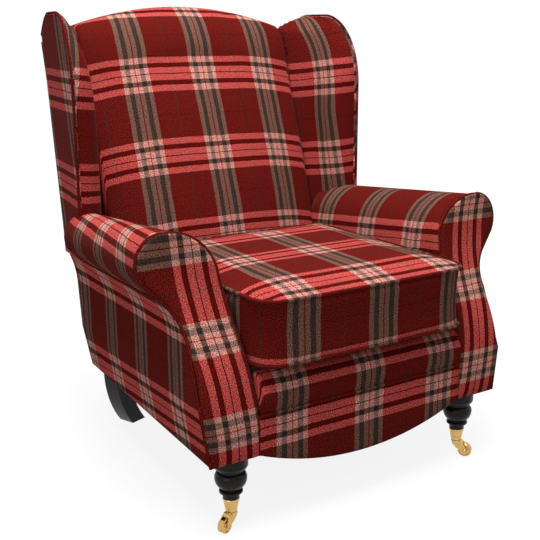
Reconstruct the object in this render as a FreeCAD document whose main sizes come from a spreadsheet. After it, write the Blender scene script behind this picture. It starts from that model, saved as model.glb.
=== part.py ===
import FreeCAD, Part
import Sketcher
import math
import os

# Wing-back fireside chair with scroll arms, a loose box cushion and brass front castors.
# Millimetres. A size that ends in _out is measured outwards from the side of the frame, and
# one of the back or wings that ends in _drop is measured down from the overall height.
# +Z is up, the sitter faces -Y, and the origin lies on the floor under the middle of the
# chair's bounding box. "left" is the -X side.

V = FreeCAD.Vector
doc = FreeCAD.newDocument("FiresideChair")
sheet = doc.addObject("Spreadsheet::Sheet", "sizes")

SIZES = {
    # Gaps between pieces
    "seat_gap": 0.3,
    "running_gap": 0.06,
    # Timber frame
    "body_bottom": 166.0,
    "frame_half_width": 330.0,
    "timber": 35.0,
    "seat_rail_height": 102.0,
    "arm_rail_low": 442.0,
    "arm_rail_height": 27.7,
    "arm_rail_width": 50.0,
    "stump_depth": 58.0,
    "post_depth": 40.0,
    "post_drop": 95.0,
    "top_rail_height": 62.0,
    "lower_back_rail_low": 300.0,
    "lower_back_rail_height": 50.0,
    "corner_block_leg": 58.0,
    "webbing_thickness": 2.0,
    "webbing_width": 50.0,
    "lower_back_rail_depth": 30.0,
    "dust_cover_thickness": 1.2,
    "dust_cover_inset": 8.0,
    # Side profile of the back
    "back_foot_y": 266.0,
    "back_kink_z": 520.0,
    "back_kink_y": 319.7,
    "back_high_y": 449.4,
    "back_high_drop": 10.0,
    "outside_back_thickness": 10.0,
    "outside_back_out": 38.0,
    # Arch along the top of the back
    "overall_height": 1050.0,
    "arch_radius": 912.0,
    "top_pad": 26.0,
    "top_roll_depth": 62.0,
    # Padded inside back
    "inside_back_out": -27.3,
    "lumbar_z": 470.0,
    "lumbar_y": 150.0,
    "inside_back_foot_y": 129.0,
    "shoulder_drop": 130.0,
    "shoulder_y": 318.0,
    "crown_low": 48.0,
    "crown_high": 22.0,
    # Scroll arm section
    "arm_inner_low_out": -62.0,
    "arm_inner_mid_out": -45.0,
    "arm_inner_high_out": -34.0,
    "arm_outer_foot_out": 48.0,
    "arm_outer_out": 63.5,
    "arm_step_z": 241.0,
    "arm_mid_z": 439.0,
    "arm_shoulder_z": 535.0,
    "scroll_out": 79.4,
    "scroll_z": 555.8,
    "scroll_radius": 58.0,
    "scroll_seam_out": 93.0,
    "scroll_seam_z": 486.0,
    "arm_drop": 42.0,
    "arm_toe_in": 34.0,
    "arm_rear_y": 205.0,
    "arm_end_round": 34.0,
    "seam_fall": 0.55,
    "throat_depth": 33.0,
    "throat_reach": 86.0,
    "arm_step_rise": 26.0,
    "arm_front_spare": 5.0,
    "outside_arm_thickness": 10.0,
    # Scooped front of the arm
    "facing_low_y": -429.0,
    "facing_high_y": -313.0,
    "scoop_low_z": 212.0,
    "scoop_high_z": 598.0,
    "facing_thickness": 14.0,
    # Front border under the cushion
    "border_setback": 2.0,
    "apron_thickness": 18.0,
    "apron_drop": 50.0,
    "apron_hem": 4.0,
    "border_seam_z": 250.0,
    "lip_top": 336.0,
    "lip_bulge": 9.0,
    "lip_depth": 36.0,
    # Seat
    "platform_top": 346.0,
    "cushion_front_y": -446.4,
    "cushion_rear_y": 126.0,
    "cushion_out": -68.0,
    "cushion_low_seam": 353.0,
    "cushion_top_seam": 484.0,
    "cushion_crown": 15.0,
    "cushion_corner": 52.0,
    "cushion_bow": 3.0,
    "cushion_roll": 60.0,
    "cushion_under_roll": 11.0,
    # Wings
    "wing_front_out": 72.0,
    "wing_front_y": 144.0,
    "wing_toe_in": 0.132,
    "wing_top_drop": 23.0,
    "wing_top_run": 125.0,
    "wing_top_rise": 177.0,
    "wing_crest_end_y": 345.0,
    "wing_rear_drop": 78.0,
    "wing_rear_bend_up": 36.0,
    "wing_rear_bend_in": 40.0,
    "wing_panel": 10.0,
    "wing_depth": 150.0,
    "wing_board": 18.0,
    "wing_board_low": 600.0,
    "wing_board_inset": 22.0,
    "wing_bulge_out": 1.0,
    "wing_junction_low_y": 240.0,
    "wing_junction_high_y": 360.0,
    # Front legs
    "leg_out": -19.0,
    "leg_y": -383.0,
    "collar_radius": 36.0,
    "collar_low": 137.0,
    "neck_radius": 25.5,
    "neck_z": 129.0,
    "bulb_radius": 33.5,
    "bulb_low": 91.0,
    "ankle_radius": 19.5,
    "ring_radius": 24.5,
    "ring_z": 85.0,
    "ring_height": 6.0,
    "leg_bolt_radius": 4.0,
    "leg_bolt_reach": 32.0,
    # Rear legs
    "rear_foot_out": -84.0,
    "rear_foot_y": 244.5,
    "rear_leg_turn": 21.0,
    "rear_leg_width": 45.0,
    "rear_leg_sweep": 50.0,
    "rear_leg_curve_top": 150.0,
    "rear_leg_top_width": 56.0,
    "rear_bolt_along": 62.0,
    "rear_bolt_aside": 12.0,
    # Castors
    "cup_top": 69.5,
    "cup_bottom": 39.7,
    "cup_top_radius": 17.3,
    "cup_bottom_radius": 12.0,
    "cup_wall": 1.8,
    "cup_floor": 2.6,
    "wheel_radius": 16.0,
    "wheel_width": 14.0,
    "trail": 22.0,
    "swivel_pin_radius": 4.0,
    "swivel_head_radius": 6.4,
    "swivel_head_height": 2.4,
    "horn_plate_radius": 11.5,
    "horn_plate_height": 2.6,
    "horn_cheek": 2.4,
    "horn_boss_radius": 5.6,
    "axle_radius": 2.2,
    "axle_head_radius": 3.6,
    "axle_head_height": 1.6,
    "left_castor_turn": 201.5,
    "right_castor_turn": -53.2,
}

for row, (alias, value) in enumerate(SIZES.items(), start=1):
    sheet.set("A%d" % row, alias)
    sheet.set("B%d" % row, str(value))
    sheet.setAlias("B%d" % row, alias)
doc.recompute()

SIDES = (("left", -1), ("right", 1))


def mm(alias):
    """One size of the sheet as a number."""
    return float(sheet.get(alias))


def number(expression):
    """An expression on the sheet as a number."""
    return float(sheet.evalExpression(expression))


def from_frame(alias):
    """Distance from the middle of a point given outwards from the frame's side."""
    return mm("frame_half_width") + mm(alias)


def below_top(alias):
    """Height of a point given down from the top of the back."""
    return mm("overall_height") - mm(alias)


# Outlines and plain solids

def in_side_view(x):
    return lambda y, z: V(x, y, z)


def in_front_view(y):
    return lambda x, z: V(x, y, z)


def in_plan(z):
    return lambda x, y: V(x, y, z)


def outline(place, start, steps):
    """Closed wire of lines, one point each, and arcs, a middle point and an end point."""
    edges = []
    first = place(*start)
    here = first
    for step in steps:
        there = place(*step[-1])
        if len(step) == 2:
            edges.append(Part.Arc(here, place(*step[0]), there).toShape())
        else:
            edges.append(Part.makeLine(here, there))
        here = there
    if (here - first).Length > 1e-6:
        edges.append(Part.makeLine(here, first))
    return Part.Wire(edges)


def prism(wire, direction):
    return Part.Face(wire).extrude(direction)


def loft(wires, ruled=False):
    return Part.makeLoft(wires, True, ruled)


def across(wire, x_low, x_high):
    """Side-view outline drawn at x = 0, extruded from x_low to x_high."""
    return prism(wire.translated(V(x_low, 0, 0)), V(x_high - x_low, 0, 0))


def span(a, b):
    return (a, b) if a < b else (b, a)


def piece(label, shape):
    """A shaped part as a feature of its own."""
    feature = doc.addObject("Part::Feature", label)
    feature.Label = label
    feature.Shape = shape
    feature.Placement = FreeCAD.Placement()
    return feature


# Curves that several pieces share

def back_y(z):
    """Rear face of the back: a lower and an upper rake that meet at the kink."""
    if z < mm("back_kink_z"):
        share = (z - mm("body_bottom")) / (mm("back_kink_z") - mm("body_bottom"))
        return mm("back_foot_y") + share * (mm("back_kink_y") - mm("back_foot_y"))
    share = (z - mm("back_kink_z")) / (below_top("back_high_drop") - mm("back_kink_z"))
    return mm("back_kink_y") + share * (mm("back_high_y") - mm("back_kink_y"))


def arch_z(x):
    """Height of the arched top of the back at a distance x from the middle."""
    radius = mm("arch_radius")
    return mm("overall_height") - radius + math.sqrt(radius ** 2 - x ** 2)


FAR = 700.0
HIGH = 1300.0


def before_back(offset, x_low=-FAR, x_high=FAR):
    """Everything in front of the back's rear face, moved forward by offset."""
    kink = mm("back_kink_z")
    points = [(-FAR, 0), (back_y(0) - offset, 0), (back_y(kink) - offset, kink),
              (back_y(HIGH) - offset, HIGH), (-FAR, HIGH)]
    wire = outline(in_side_view(0), points[0], [(p,) for p in points[1:]])
    return across(wire, x_low, x_high)


def scoop_radius():
    """Radius of the two equal arcs of the arm's front line."""
    run = mm("facing_high_y") - mm("facing_low_y")
    rise = mm("scoop_high_z") - mm("scoop_low_z")
    return (run ** 2 + rise ** 2) / (4 * run)


def upper_scoop_y(z):
    """Where the arm's front line lies at a height on its upper arc."""
    radius = scoop_radius()
    return mm("facing_high_y") - radius + math.sqrt(radius ** 2 - (mm("scoop_high_z") - z) ** 2)


def scoop_steps(offset):
    """Front line of the arm: upright, swept back through two equal arcs, upright again."""
    low = mm("facing_low_y") + offset
    high = mm("facing_high_y") + offset
    z_low = mm("scoop_low_z")
    z_high = mm("scoop_high_z")
    radius = scoop_radius()
    half = math.asin((z_high - z_low) / 2 / radius) / 2
    ahead = radius * (1 - math.cos(half))
    up = radius * math.sin(half)
    middle = ((low + high) / 2, (z_low + z_high) / 2)
    return [((low, z_low),),
            ((low + ahead, z_low + up), middle),
            ((high - ahead, z_high - up), (high, z_high)),
            ((high, HIGH),)]


def behind_scoop(offset, x_low=-FAR, x_high=FAR, depth=2 * FAR):
    """Everything behind the arm's front line, moved back by offset."""
    low = mm("facing_low_y") + offset
    high = mm("facing_high_y") + offset
    steps = scoop_steps(offset) + [((high + depth, HIGH),), ((high + depth, 0),)]
    return across(outline(in_side_view(0), (low, 0), steps), x_low, x_high)


# Timber frame

def timber(label, low, high):
    """A straight timber between two corners, each given by three expressions."""
    box = doc.addObject("Part::Box", label)
    box.Label = label
    for name, axis in (("Length", 0), ("Width", 1), ("Height", 2)):
        box.setExpression(name, "(%s) - (%s)" % (high[axis], low[axis]))
    for name, axis in (("x", 0), ("y", 1), ("z", 2)):
        box.setExpression("Placement.Base." + name, low[axis])
    return box


def plane_of(body, role):
    for feature in body.Origin.OriginFeatures:
        if feature.Role == role:
            return feature
    raise RuntimeError("no origin plane " + role)


def bound_sketch(body, name, role, corners, arcs=None):
    """Closed sketch on an origin plane of its own body, with every corner driven by the
    sheet. arcs maps an edge's number to its radius and the side it bulges to (1 is left)."""
    arcs = arcs or {}
    sketch = body.newObject("Sketcher::SketchObject", name)
    sketch.AttachmentSupport = [(plane_of(body, role), "")]
    sketch.MapMode = "FlatFace"
    points = [V(number(x), number(y), 0) for x, y in corners]
    count = len(points)
    ends = []
    for i in range(count):
        p, q = points[i], points[(i + 1) % count]
        if i not in arcs:
            sketch.addGeometry(Part.LineSegment(p, q))
            ends.append((1, 2))
            continue
        radius = number(arcs[i][0])
        side = arcs[i][1]
        half = (q - p).Length / 2
        sagitta = radius - math.sqrt(radius ** 2 - half ** 2)
        along = (q - p).normalize()
        middle = (p + q) / 2 + V(-along.y, along.x, 0) * sagitta * side
        if side < 0:
            sketch.addGeometry(Part.Arc(p, middle, q))
            ends.append((1, 2))
        else:
            sketch.addGeometry(Part.Arc(q, middle, p))
            ends.append((2, 1))
    for i in range(count):
        after = (i + 1) % count
        sketch.addConstraint(Sketcher.Constraint("Coincident", i, ends[i][1],
                                                 after, ends[after][0]))
    for i, (x, y) in enumerate(corners):
        for letter, text, kind, axis in (("x", x, "DistanceX", -2), ("y", y, "DistanceY", -1)):
            if text == "0":
                sketch.addConstraint(Sketcher.Constraint("PointOnObject", i, ends[i][0], axis))
                continue
            index = sketch.addConstraint(
                Sketcher.Constraint(kind, -1, 1, i, ends[i][0], number(text)))
            sketch.renameConstraint(index, "%s%d" % (letter, i))
            sketch.setExpression("Constraints.%s%d" % (letter, i), text)
    for i, (radius, side) in arcs.items():
        index = sketch.addConstraint(Sketcher.Constraint("Radius", i, number(radius)))
        sketch.renameConstraint(index, "r%d" % i)
        sketch.setExpression("Constraints.r%d" % i, radius)
    return sketch


def new_body(label):
    body = doc.addObject("PartDesign::Body", label)
    body.Label = label
    return body


def pad(body, name, sketch, length, midplane=False):
    feature = body.newObject("PartDesign::Pad", name)
    feature.Profile = sketch
    feature.setExpression("Length", length)
    feature.Midplane = midplane
    return feature


def turned(body, name, sketch):
    feature = body.newObject("PartDesign::Revolution", name)
    feature.Profile = sketch
    feature.ReferenceAxis = (sketch, ["V_Axis"])
    feature.Angle = 360
    return feature


RAIL_IN = "(sizes.frame_half_width - sizes.timber)"
RAIL_TOP = "(sizes.body_bottom + sizes.seat_rail_height)"
WEBBING_TOP = "(" + RAIL_TOP + " + 2 * sizes.webbing_thickness + 3 * sizes.seat_gap)"
FRONT_RAIL_Y = ("(sizes.facing_low_y + sizes.border_setback + sizes.apron_thickness"
                " + sizes.seat_gap)")
FRONT_RAIL_REAR = "(" + FRONT_RAIL_Y + " + sizes.timber)"
POST_BEHIND = "(sizes.outside_back_thickness + sizes.seat_gap)"
REAR_RAIL_Y = "(sizes.back_foot_y - " + POST_BEHIND + " - sizes.timber)"
POST_FOOT_Y = "(sizes.back_foot_y - " + POST_BEHIND + " - sizes.post_depth)"
POST_TOP = "(sizes.overall_height - sizes.post_drop)"
BACK_HIGH_Z = "(sizes.overall_height - sizes.back_high_drop)"


def seat_rails():
    """Four rails of the seat; the front one is bowed along its lower edge."""
    body = new_body("front_seat_rail")
    half = RAIL_IN + " - sizes.seat_gap"
    inner = "((sizes.frame_half_width + sizes.arm_inner_low_out) - 2 * sizes.seat_gap)"
    low = "sizes.body_bottom"
    bow = ("((%s) * (%s) + sizes.apron_drop * sizes.apron_drop) / (2 * sizes.apron_drop)"
           % (inner, inner))
    corners = [("-(" + half + ")", low), ("-" + inner, low), (inner, low), (half, low),
               (half, RAIL_TOP), ("-(" + half + ")", RAIL_TOP)]
    sketch = bound_sketch(body, "front_rail_outline", "XZ_Plane", corners, {1: (bow, -1)})
    feature = pad(body, "front_rail_board", sketch, "sizes.timber")
    feature.Reversed = True
    body.setExpression("Placement.Base.y", FRONT_RAIL_Y)
    timber("rear_seat_rail",
           ("-" + RAIL_IN + " + sizes.seat_gap", REAR_RAIL_Y, "sizes.body_bottom"),
           (RAIL_IN + " - sizes.seat_gap", REAR_RAIL_Y + " + sizes.timber", RAIL_TOP))
    front = FRONT_RAIL_REAR + " + sizes.seat_gap"
    rear = POST_FOOT_Y + " - sizes.seat_gap"
    timber("left_seat_rail",
           ("-sizes.frame_half_width", front, "sizes.body_bottom"),
           ("-" + RAIL_IN, rear, RAIL_TOP))
    timber("right_seat_rail",
           (RAIL_IN, front, "sizes.body_bottom"),
           ("sizes.frame_half_width", rear, RAIL_TOP))


def corner_blocks():
    """Triangular blocks glued into the four corners of the seat frame."""
    leg = mm("corner_block_leg")
    gap = mm("seat_gap")
    x = number(RAIL_IN) - gap
    low = mm("body_bottom")
    height = mm("seat_rail_height") - 10
    corners = ((number(FRONT_RAIL_REAR) + gap, 1), (number(REAR_RAIL_Y) - gap, -1))
    blocks = []
    for name, side in SIDES:
        for y, inward in corners:
            wire = outline(in_plan(low), (side * x, y),
                           [((side * (x - leg), y),), ((side * x, y + inward * leg),)])
            blocks.append(prism(wire, V(0, 0, height)))
    piece("corner_blocks", Part.makeCompound(blocks))


TURN = "(sizes.rear_leg_turn * 1 deg)"


def bolt_x(side):
    """Where the rear bolt lies across the post, from the post's middle."""
    along = "sizes.rear_bolt_along * cos" + TURN + " + sizes.rear_bolt_aside * sin" + TURN
    text = "(sizes.rear_foot_out + %s + sizes.timber / 2)" % along
    return text if side > 0 else "-" + text


def bolt_y():
    aside = "sizes.rear_bolt_aside * cos" + TURN + " - sizes.rear_bolt_along * sin" + TURN
    return "(sizes.rear_foot_y + %s)" % aside


def back_frame():
    """Raked posts, arched top rail and lower rail of the back."""
    kink_y = "(sizes.back_kink_y - " + POST_BEHIND + ")"
    rise = "((%s - sizes.back_kink_z) / (%s - sizes.back_kink_z))" % (POST_TOP, BACK_HIGH_Z)
    top_y = ("(sizes.back_kink_y + %s * (sizes.back_high_y - sizes.back_kink_y) - %s)"
             % (rise, POST_BEHIND))
    foot_y = "(sizes.back_foot_y - " + POST_BEHIND + ")"
    corners = [(foot_y, "sizes.body_bottom"), (kink_y, "sizes.back_kink_z"),
               (top_y, POST_TOP), (top_y + " - sizes.post_depth", POST_TOP),
               (kink_y + " - sizes.post_depth", "sizes.back_kink_z"),
               (foot_y + " - sizes.post_depth", "sizes.body_bottom")]
    for name, side in SIDES:
        body = new_body(name + "_back_post")
        sketch = bound_sketch(body, name + "_post_outline", "YZ_Plane", corners)
        pad(body, name + "_post_board", sketch, "sizes.timber", midplane=True)
        hole = lifted(round_sketch(body, name + "_post_bolt_circle", "XY_Plane",
                                   "sizes.leg_bolt_radius + sizes.seat_gap",
                                   bolt_x(side), bolt_y()), "sizes.body_bottom")
        feature = pocket(body, name + "_post_bolt_hole", hole, "sizes.leg_bolt_reach + 2",
                         midplane=False)
        feature.Reversed = True
        place = "%d * (sizes.frame_half_width - sizes.timber / 2)" % side
        body.setExpression("Placement.Base.x", place)
    half = number(RAIL_IN) - mm("seat_gap")
    lift = mm("top_pad") + 1.5
    deep = lift + mm("top_rail_height")
    rail = prism(outline(in_front_view(-FAR), (-half, arch_z(half) - lift),
                         [((0, mm("overall_height") - lift), (half, arch_z(half) - lift)),
                          ((half, arch_z(half) - deep),),
                          ((0, mm("overall_height") - deep), (-half, arch_z(half) - deep))]),
                 V(0, 2 * FAR, 0))
    front = number(POST_BEHIND) + mm("post_depth")
    rail = rail.common(before_back(number(POST_BEHIND))).cut(before_back(front))
    piece("top_back_rail", rail)
    low = mm("lower_back_rail_low")
    rear = back_y(low) - number(POST_BEHIND)
    depth = mm("lower_back_rail_depth")
    rail = Part.makeBox(2 * half, depth, mm("lower_back_rail_height"), V(-half, rear - depth, low))
    piece("lower_back_rail", rail)


def stump(name, side):
    """Band-sawn front post of an arm, which gives the facing its scoop."""
    gap = mm("seat_gap")
    start = mm("facing_thickness") + gap
    x_low, x_high = span(side * number(RAIL_IN), side * mm("frame_half_width"))
    shape = behind_scoop(start, x_low, x_high)
    shape = shape.cut(behind_scoop(start + mm("stump_depth"), x_low - 1, x_high + 1, 3 * FAR))
    low = number(RAIL_TOP) + gap
    top = mm("arm_rail_low") - gap
    room = Part.makeBox(2 * FAR, 2 * FAR, top - low, V(-FAR, -FAR, low))
    shape = shape.common(room)
    foot = Part.makeBox(x_high - x_low, mm("timber"), mm("seat_rail_height") + gap,
                        V(x_low, number(FRONT_RAIL_Y), mm("body_bottom")))
    stump_shape = shape.fuse(foot).removeSplitter().cut(bolt_room(side))
    piece(name + "_arm_stump", stump_shape)


def arm_timber():
    """Front posts and top rails of the arms."""
    for name, side in SIDES:
        stump(name, side)
        low = mm("arm_rail_low")
        reach = upper_scoop_y(low + mm("arm_rail_height")) + mm("facing_thickness")
        front = reach + 2 * mm("seat_gap")
        rear = back_y(low) - number(POST_BEHIND) - mm("post_depth") - mm("seat_gap")
        x_low, x_high = span(side * number(RAIL_IN),
                             side * (number(RAIL_IN) + mm("arm_rail_width")))
        rail = Part.makeBox(x_high - x_low, rear - front, mm("arm_rail_height"),
                            V(x_low, front, low))
        piece(name + "_arm_rail", rail)


# Scroll arms

def roll_share(y):
    """0 where the scroll meets its facing, 1 at the rear end of the roll."""
    return (y - mm("facing_high_y")) / (mm("arm_rear_y") - mm("facing_high_y"))


def seam_height(y):
    """Height of the seam under the scroll, which falls towards the rear."""
    return mm("scroll_seam_z") - mm("seam_fall") * roll_share(y) * mm("arm_drop")


def panel_tuck(y):
    """How far the side panel has turned in at y, from the foot of the facing back."""
    return mm("arm_toe_in") * (y - mm("facing_low_y")) / (mm("arm_rear_y") - mm("facing_low_y"))


def arm_section(y, side, grow):
    """Section across the arm at y. Towards the rear the roll is lower and the side is
    closer in. grow pushes the outline outwards."""
    drop = roll_share(y) * mm("arm_drop")
    tuck = roll_share(y) * mm("arm_toe_in")
    radius = mm("scroll_radius") + grow - 0.15 * drop
    cx = from_frame("scroll_out") - tuck
    cz = mm("scroll_z") - 0.85 * drop
    low_angle = math.radians(-43)
    side_angle = math.radians(10)
    mid_x = from_frame("arm_inner_mid_out") - grow
    high_x = from_frame("arm_inner_high_out") - grow
    low_x = from_frame("arm_inner_low_out") - grow
    shoulder_z = mm("arm_shoulder_z") - 0.7 * drop
    crest_z = cz + radius
    seam_z = seam_height(y) - grow
    outer_x = from_frame("arm_outer_out") - panel_tuck(y) + grow
    foot_x = from_frame("arm_outer_foot_out") - panel_tuck(y) + grow
    bottom = mm("body_bottom")
    seam_x = from_frame("scroll_seam_out") - tuck
    throat_z = seam_z - mm("throat_depth")
    roll_x = high_x + 0.39 * (cx - high_x)
    roll_z = shoulder_z + 0.775 * (crest_z - shoulder_z)
    sx = side
    steps = [
        ((sx * roll_x, roll_z), (sx * cx, crest_z)),
        ((sx * (cx + radius * math.cos(side_angle)), cz + radius * math.sin(side_angle)),
         (sx * (cx + radius * math.cos(low_angle)), cz + radius * math.sin(low_angle))),
        ((sx * (seam_x + grow), seam_z),),
        ((sx * (outer_x + 0.33 * (seam_x - outer_x)), throat_z),
         (sx * outer_x, seam_z - mm("throat_reach"))),
        ((sx * outer_x, mm("arm_step_z") + mm("arm_step_rise")),),
        ((sx * foot_x, bottom),),
        ((sx * low_x, bottom),),
        ((sx * low_x, mm("arm_step_z")),),
        ((sx * mid_x, mm("arm_mid_z")),),
        ((sx * high_x, shoulder_z),),
    ]
    return outline(in_front_view(y), (sx * high_x, shoulder_z), steps)


def arm_front_y():
    return mm("facing_low_y") - mm("arm_front_spare")


def arm_mass(side, grow=0.0):
    """The whole arm before it is divided, with its front end still square."""
    front = arm_section(arm_front_y(), side, grow)
    rear = arm_section(mm("arm_rear_y") + grow, side, grow)
    return loft([front, rear], ruled=True)


def arm_pad_section(y, side):
    """Room that the inside arm and roll keep: above the side panel and round the rail."""
    gap = mm("seat_gap")
    inner = number(RAIL_IN) - gap
    rail_top = mm("arm_rail_low") + mm("arm_rail_height") + gap
    seam_z = seam_height(y) + gap
    low = number(WEBBING_TOP)
    panel_x = from_frame("arm_outer_out") - panel_tuck(y) - mm("outside_arm_thickness") - 2
    return outline(in_front_view(y), (0, low),
                   [((side * inner, low),),
                    ((side * inner, rail_top),),
                    ((side * panel_x, rail_top),),
                    ((side * (panel_x + 12), seam_z),),
                    ((side * FAR, seam_z),),
                    ((side * FAR, HIGH),),
                    ((0, HIGH),)])


def rounded_end(side):
    """Plan of the arm with the outer rear corner of its roll rounded."""
    rear = mm("arm_rear_y")
    curve = mm("arm_end_round")
    x = wing_outer_x(rear, 1)
    turn = curve * (1 - math.sqrt(0.5))
    wire = outline(in_plan(0), (0, -FAR),
                   [((0, rear),), ((side * x, rear),),
                    ((side * (x + curve - turn), rear - turn), (side * (x + curve), rear - curve)),
                    ((side * FAR, -0.5 * FAR),), ((side * FAR, -FAR),)])
    return prism(wire, V(0, 0, HIGH))


def arms():
    """Facing, inside arm with its roll, and outside panel of each arm."""
    gap = mm("seat_gap")
    for name, side in SIDES:
        mass = arm_mass(side)
        x_low, x_high = span(0, side * FAR)
        thickness = mm("facing_thickness")
        facing = mass.common(behind_scoop(0, x_low, x_high))
        facing = facing.cut(behind_scoop(thickness, x_low - 1, x_high + 1, 3 * FAR))
        piece(name + "_arm_facing", facing)
        behind = behind_scoop(thickness + gap, x_low, x_high)
        room = loft([arm_pad_section(arm_front_y(), side),
                     arm_pad_section(mm("arm_rear_y"), side)], ruled=True)
        arm_pad = mass.common(behind).common(room).common(rounded_end(side))
        piece(name + "_arm_pad", arm_pad)
        piece(name + "_outside_arm", outside_arm(side, behind))


def outside_panel_section(y, side):
    """Side panel under the scroll: a thin board that follows the arm's outer line."""
    tuck = roll_share(y) * mm("arm_toe_in")
    wall = mm("outside_arm_thickness")
    seam_z = seam_height(y) - mm("seat_gap")
    outer_x = from_frame("arm_outer_out") - panel_tuck(y)
    foot_x = from_frame("arm_outer_foot_out") - panel_tuck(y)
    seam_x = from_frame("scroll_seam_out") - tuck
    bend_x = outer_x + 0.33 * (seam_x - outer_x)
    throat_z = seam_z - mm("throat_depth")
    reach_z = seam_z - mm("throat_reach")
    step_z = mm("arm_step_z") + mm("arm_step_rise")
    bottom = mm("body_bottom")
    return outline(in_front_view(y), (side * seam_x, seam_z),
                   [((side * bend_x, throat_z), (side * outer_x, reach_z)),
                    ((side * outer_x, step_z),),
                    ((side * foot_x, bottom),),
                    ((side * (foot_x - wall), bottom),),
                    ((side * (outer_x - wall), step_z),),
                    ((side * (outer_x - wall), reach_z),),
                    ((side * (bend_x - wall), throat_z), (side * (seam_x - wall), seam_z))])


def outside_arm(side, behind):
    panel = loft([outside_panel_section(arm_front_y(), side),
                  outside_panel_section(mm("back_kink_y"), side)], ruled=True)
    limit = mm("outside_back_thickness") + mm("seat_gap")
    return panel.common(behind).common(before_back(limit))


# Back

def front_y(z, x):
    """Front of the padded inside back at height z and distance x from the middle."""
    shoulder_z = mm("overall_height") - mm("shoulder_drop")
    share = (z - mm("lumbar_z")) / (shoulder_z - mm("lumbar_z"))
    crown = mm("crown_low") + share * (mm("crown_high") - mm("crown_low"))
    centre = mm("lumbar_y") + share * (mm("shoulder_y") - mm("lumbar_y"))
    return centre + crown * (abs(x) / from_frame("inside_back_out")) ** 2.2


def inside_back_section(x):
    top = arch_z(x)
    reach = (abs(x) / from_frame("inside_back_out")) ** 2.2
    low = number(WEBBING_TOP)
    lumbar_z = mm("lumbar_z")
    shoulder_z = top - mm("shoulder_drop")
    pad_rear = number(POST_BEHIND) + mm("post_depth") + mm("webbing_thickness") + 0.6
    rear = number(POST_BEHIND)
    crest_z = top - 16
    under = top - mm("top_pad")
    kink = mm("back_kink_z")
    foot = mm("inside_back_foot_y") + 0.3 * mm("crown_low") * reach
    middle_z = (lumbar_z + shoulder_z) / 2
    shoulder = front_y(shoulder_z, x)
    roll = mm("top_roll_depth")
    crest_y = back_y(crest_z) - rear
    return outline(in_side_view(x), (foot, low), [
        ((front_y(lumbar_z, x), lumbar_z),),
        ((front_y(middle_z, x) - 7, middle_z), (shoulder, shoulder_z)),
        ((shoulder + 0.36 * roll - 4, top - 60), (crest_y - roll, top - 5)),
        ((crest_y - 0.5 * roll, top), (crest_y, crest_z)),
        ((back_y(under) - rear, under),),
        ((back_y(under) - pad_rear, under),),
        ((back_y(kink) - pad_rear, kink),),
        ((back_y(low) - pad_rear, low),),
    ])


def rail_room(side):
    """Room of the arm rail and everything under it, from its inner face outwards."""
    gap = mm("seat_gap")
    inner = number(RAIL_IN) - gap
    width = mm("arm_rail_width") + 2 * gap
    x_low, x_high = span(side * inner, side * (inner + width))
    return Part.makeBox(x_high - x_low, 2 * FAR, mm("arm_rail_low") + mm("arm_rail_height") + gap,
                        V(x_low, -FAR, 0))


def back_panels(arm_room):
    """Padded inside back, lofted across its width, and the flat outside back."""
    half = from_frame("inside_back_out")
    stations = [half * step / 3 for step in range(-3, 4)]
    pad_shape = loft([inside_back_section(x) for x in stations])
    for (name, side), room in zip(SIDES, arm_room):
        pad_shape = pad_shape.cut(room)
        pad_shape = pad_shape.cut(rail_room(side))
    piece("inside_back", pad_shape)
    wide = from_frame("outside_back_out")
    foot = from_frame("arm_outer_foot_out") - mm("arm_toe_in") - 6
    hip = from_frame("arm_outer_out") - mm("arm_toe_in") - 4
    under = 12.0
    steps = [((foot, mm("body_bottom")),), ((hip, mm("arm_step_z") + mm("arm_step_rise")),),
             ((hip, mm("scroll_seam_z") - 60),), ((wide, mm("scroll_seam_z")),),
             ((wide, arch_z(wide) - under),),
             ((0, mm("overall_height") - under), (-wide, arch_z(wide) - under)),
             ((-wide, mm("scroll_seam_z")),), ((-hip, mm("scroll_seam_z") - 60),),
             ((-hip, mm("arm_step_z") + mm("arm_step_rise")),)]
    face = outline(in_front_view(-FAR), (-foot, mm("body_bottom")), steps)
    panel = prism(face, V(0, 2 * FAR, 0)).common(before_back(0))
    panel = panel.cut(before_back(mm("outside_back_thickness"), -FAR - 1, FAR + 1))
    piece("outside_back", panel)


# Wings

def wing_outer_x(y, side, inset=0.0):
    return side * (from_frame("wing_front_out") - mm("wing_toe_in") * (y - mm("wing_front_y")) - inset)


def wing_front_edge_y(z):
    """Front edge of the wing: upright, then a quarter of an ellipse over to the crest."""
    low = below_top("wing_top_drop") - mm("wing_top_rise")
    if z <= low:
        return mm("wing_front_y")
    share = min(1.0, (z - low) / mm("wing_top_rise"))
    return mm("wing_front_y") + mm("wing_top_run") * (1 - math.sqrt(1 - share ** 2))


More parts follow.
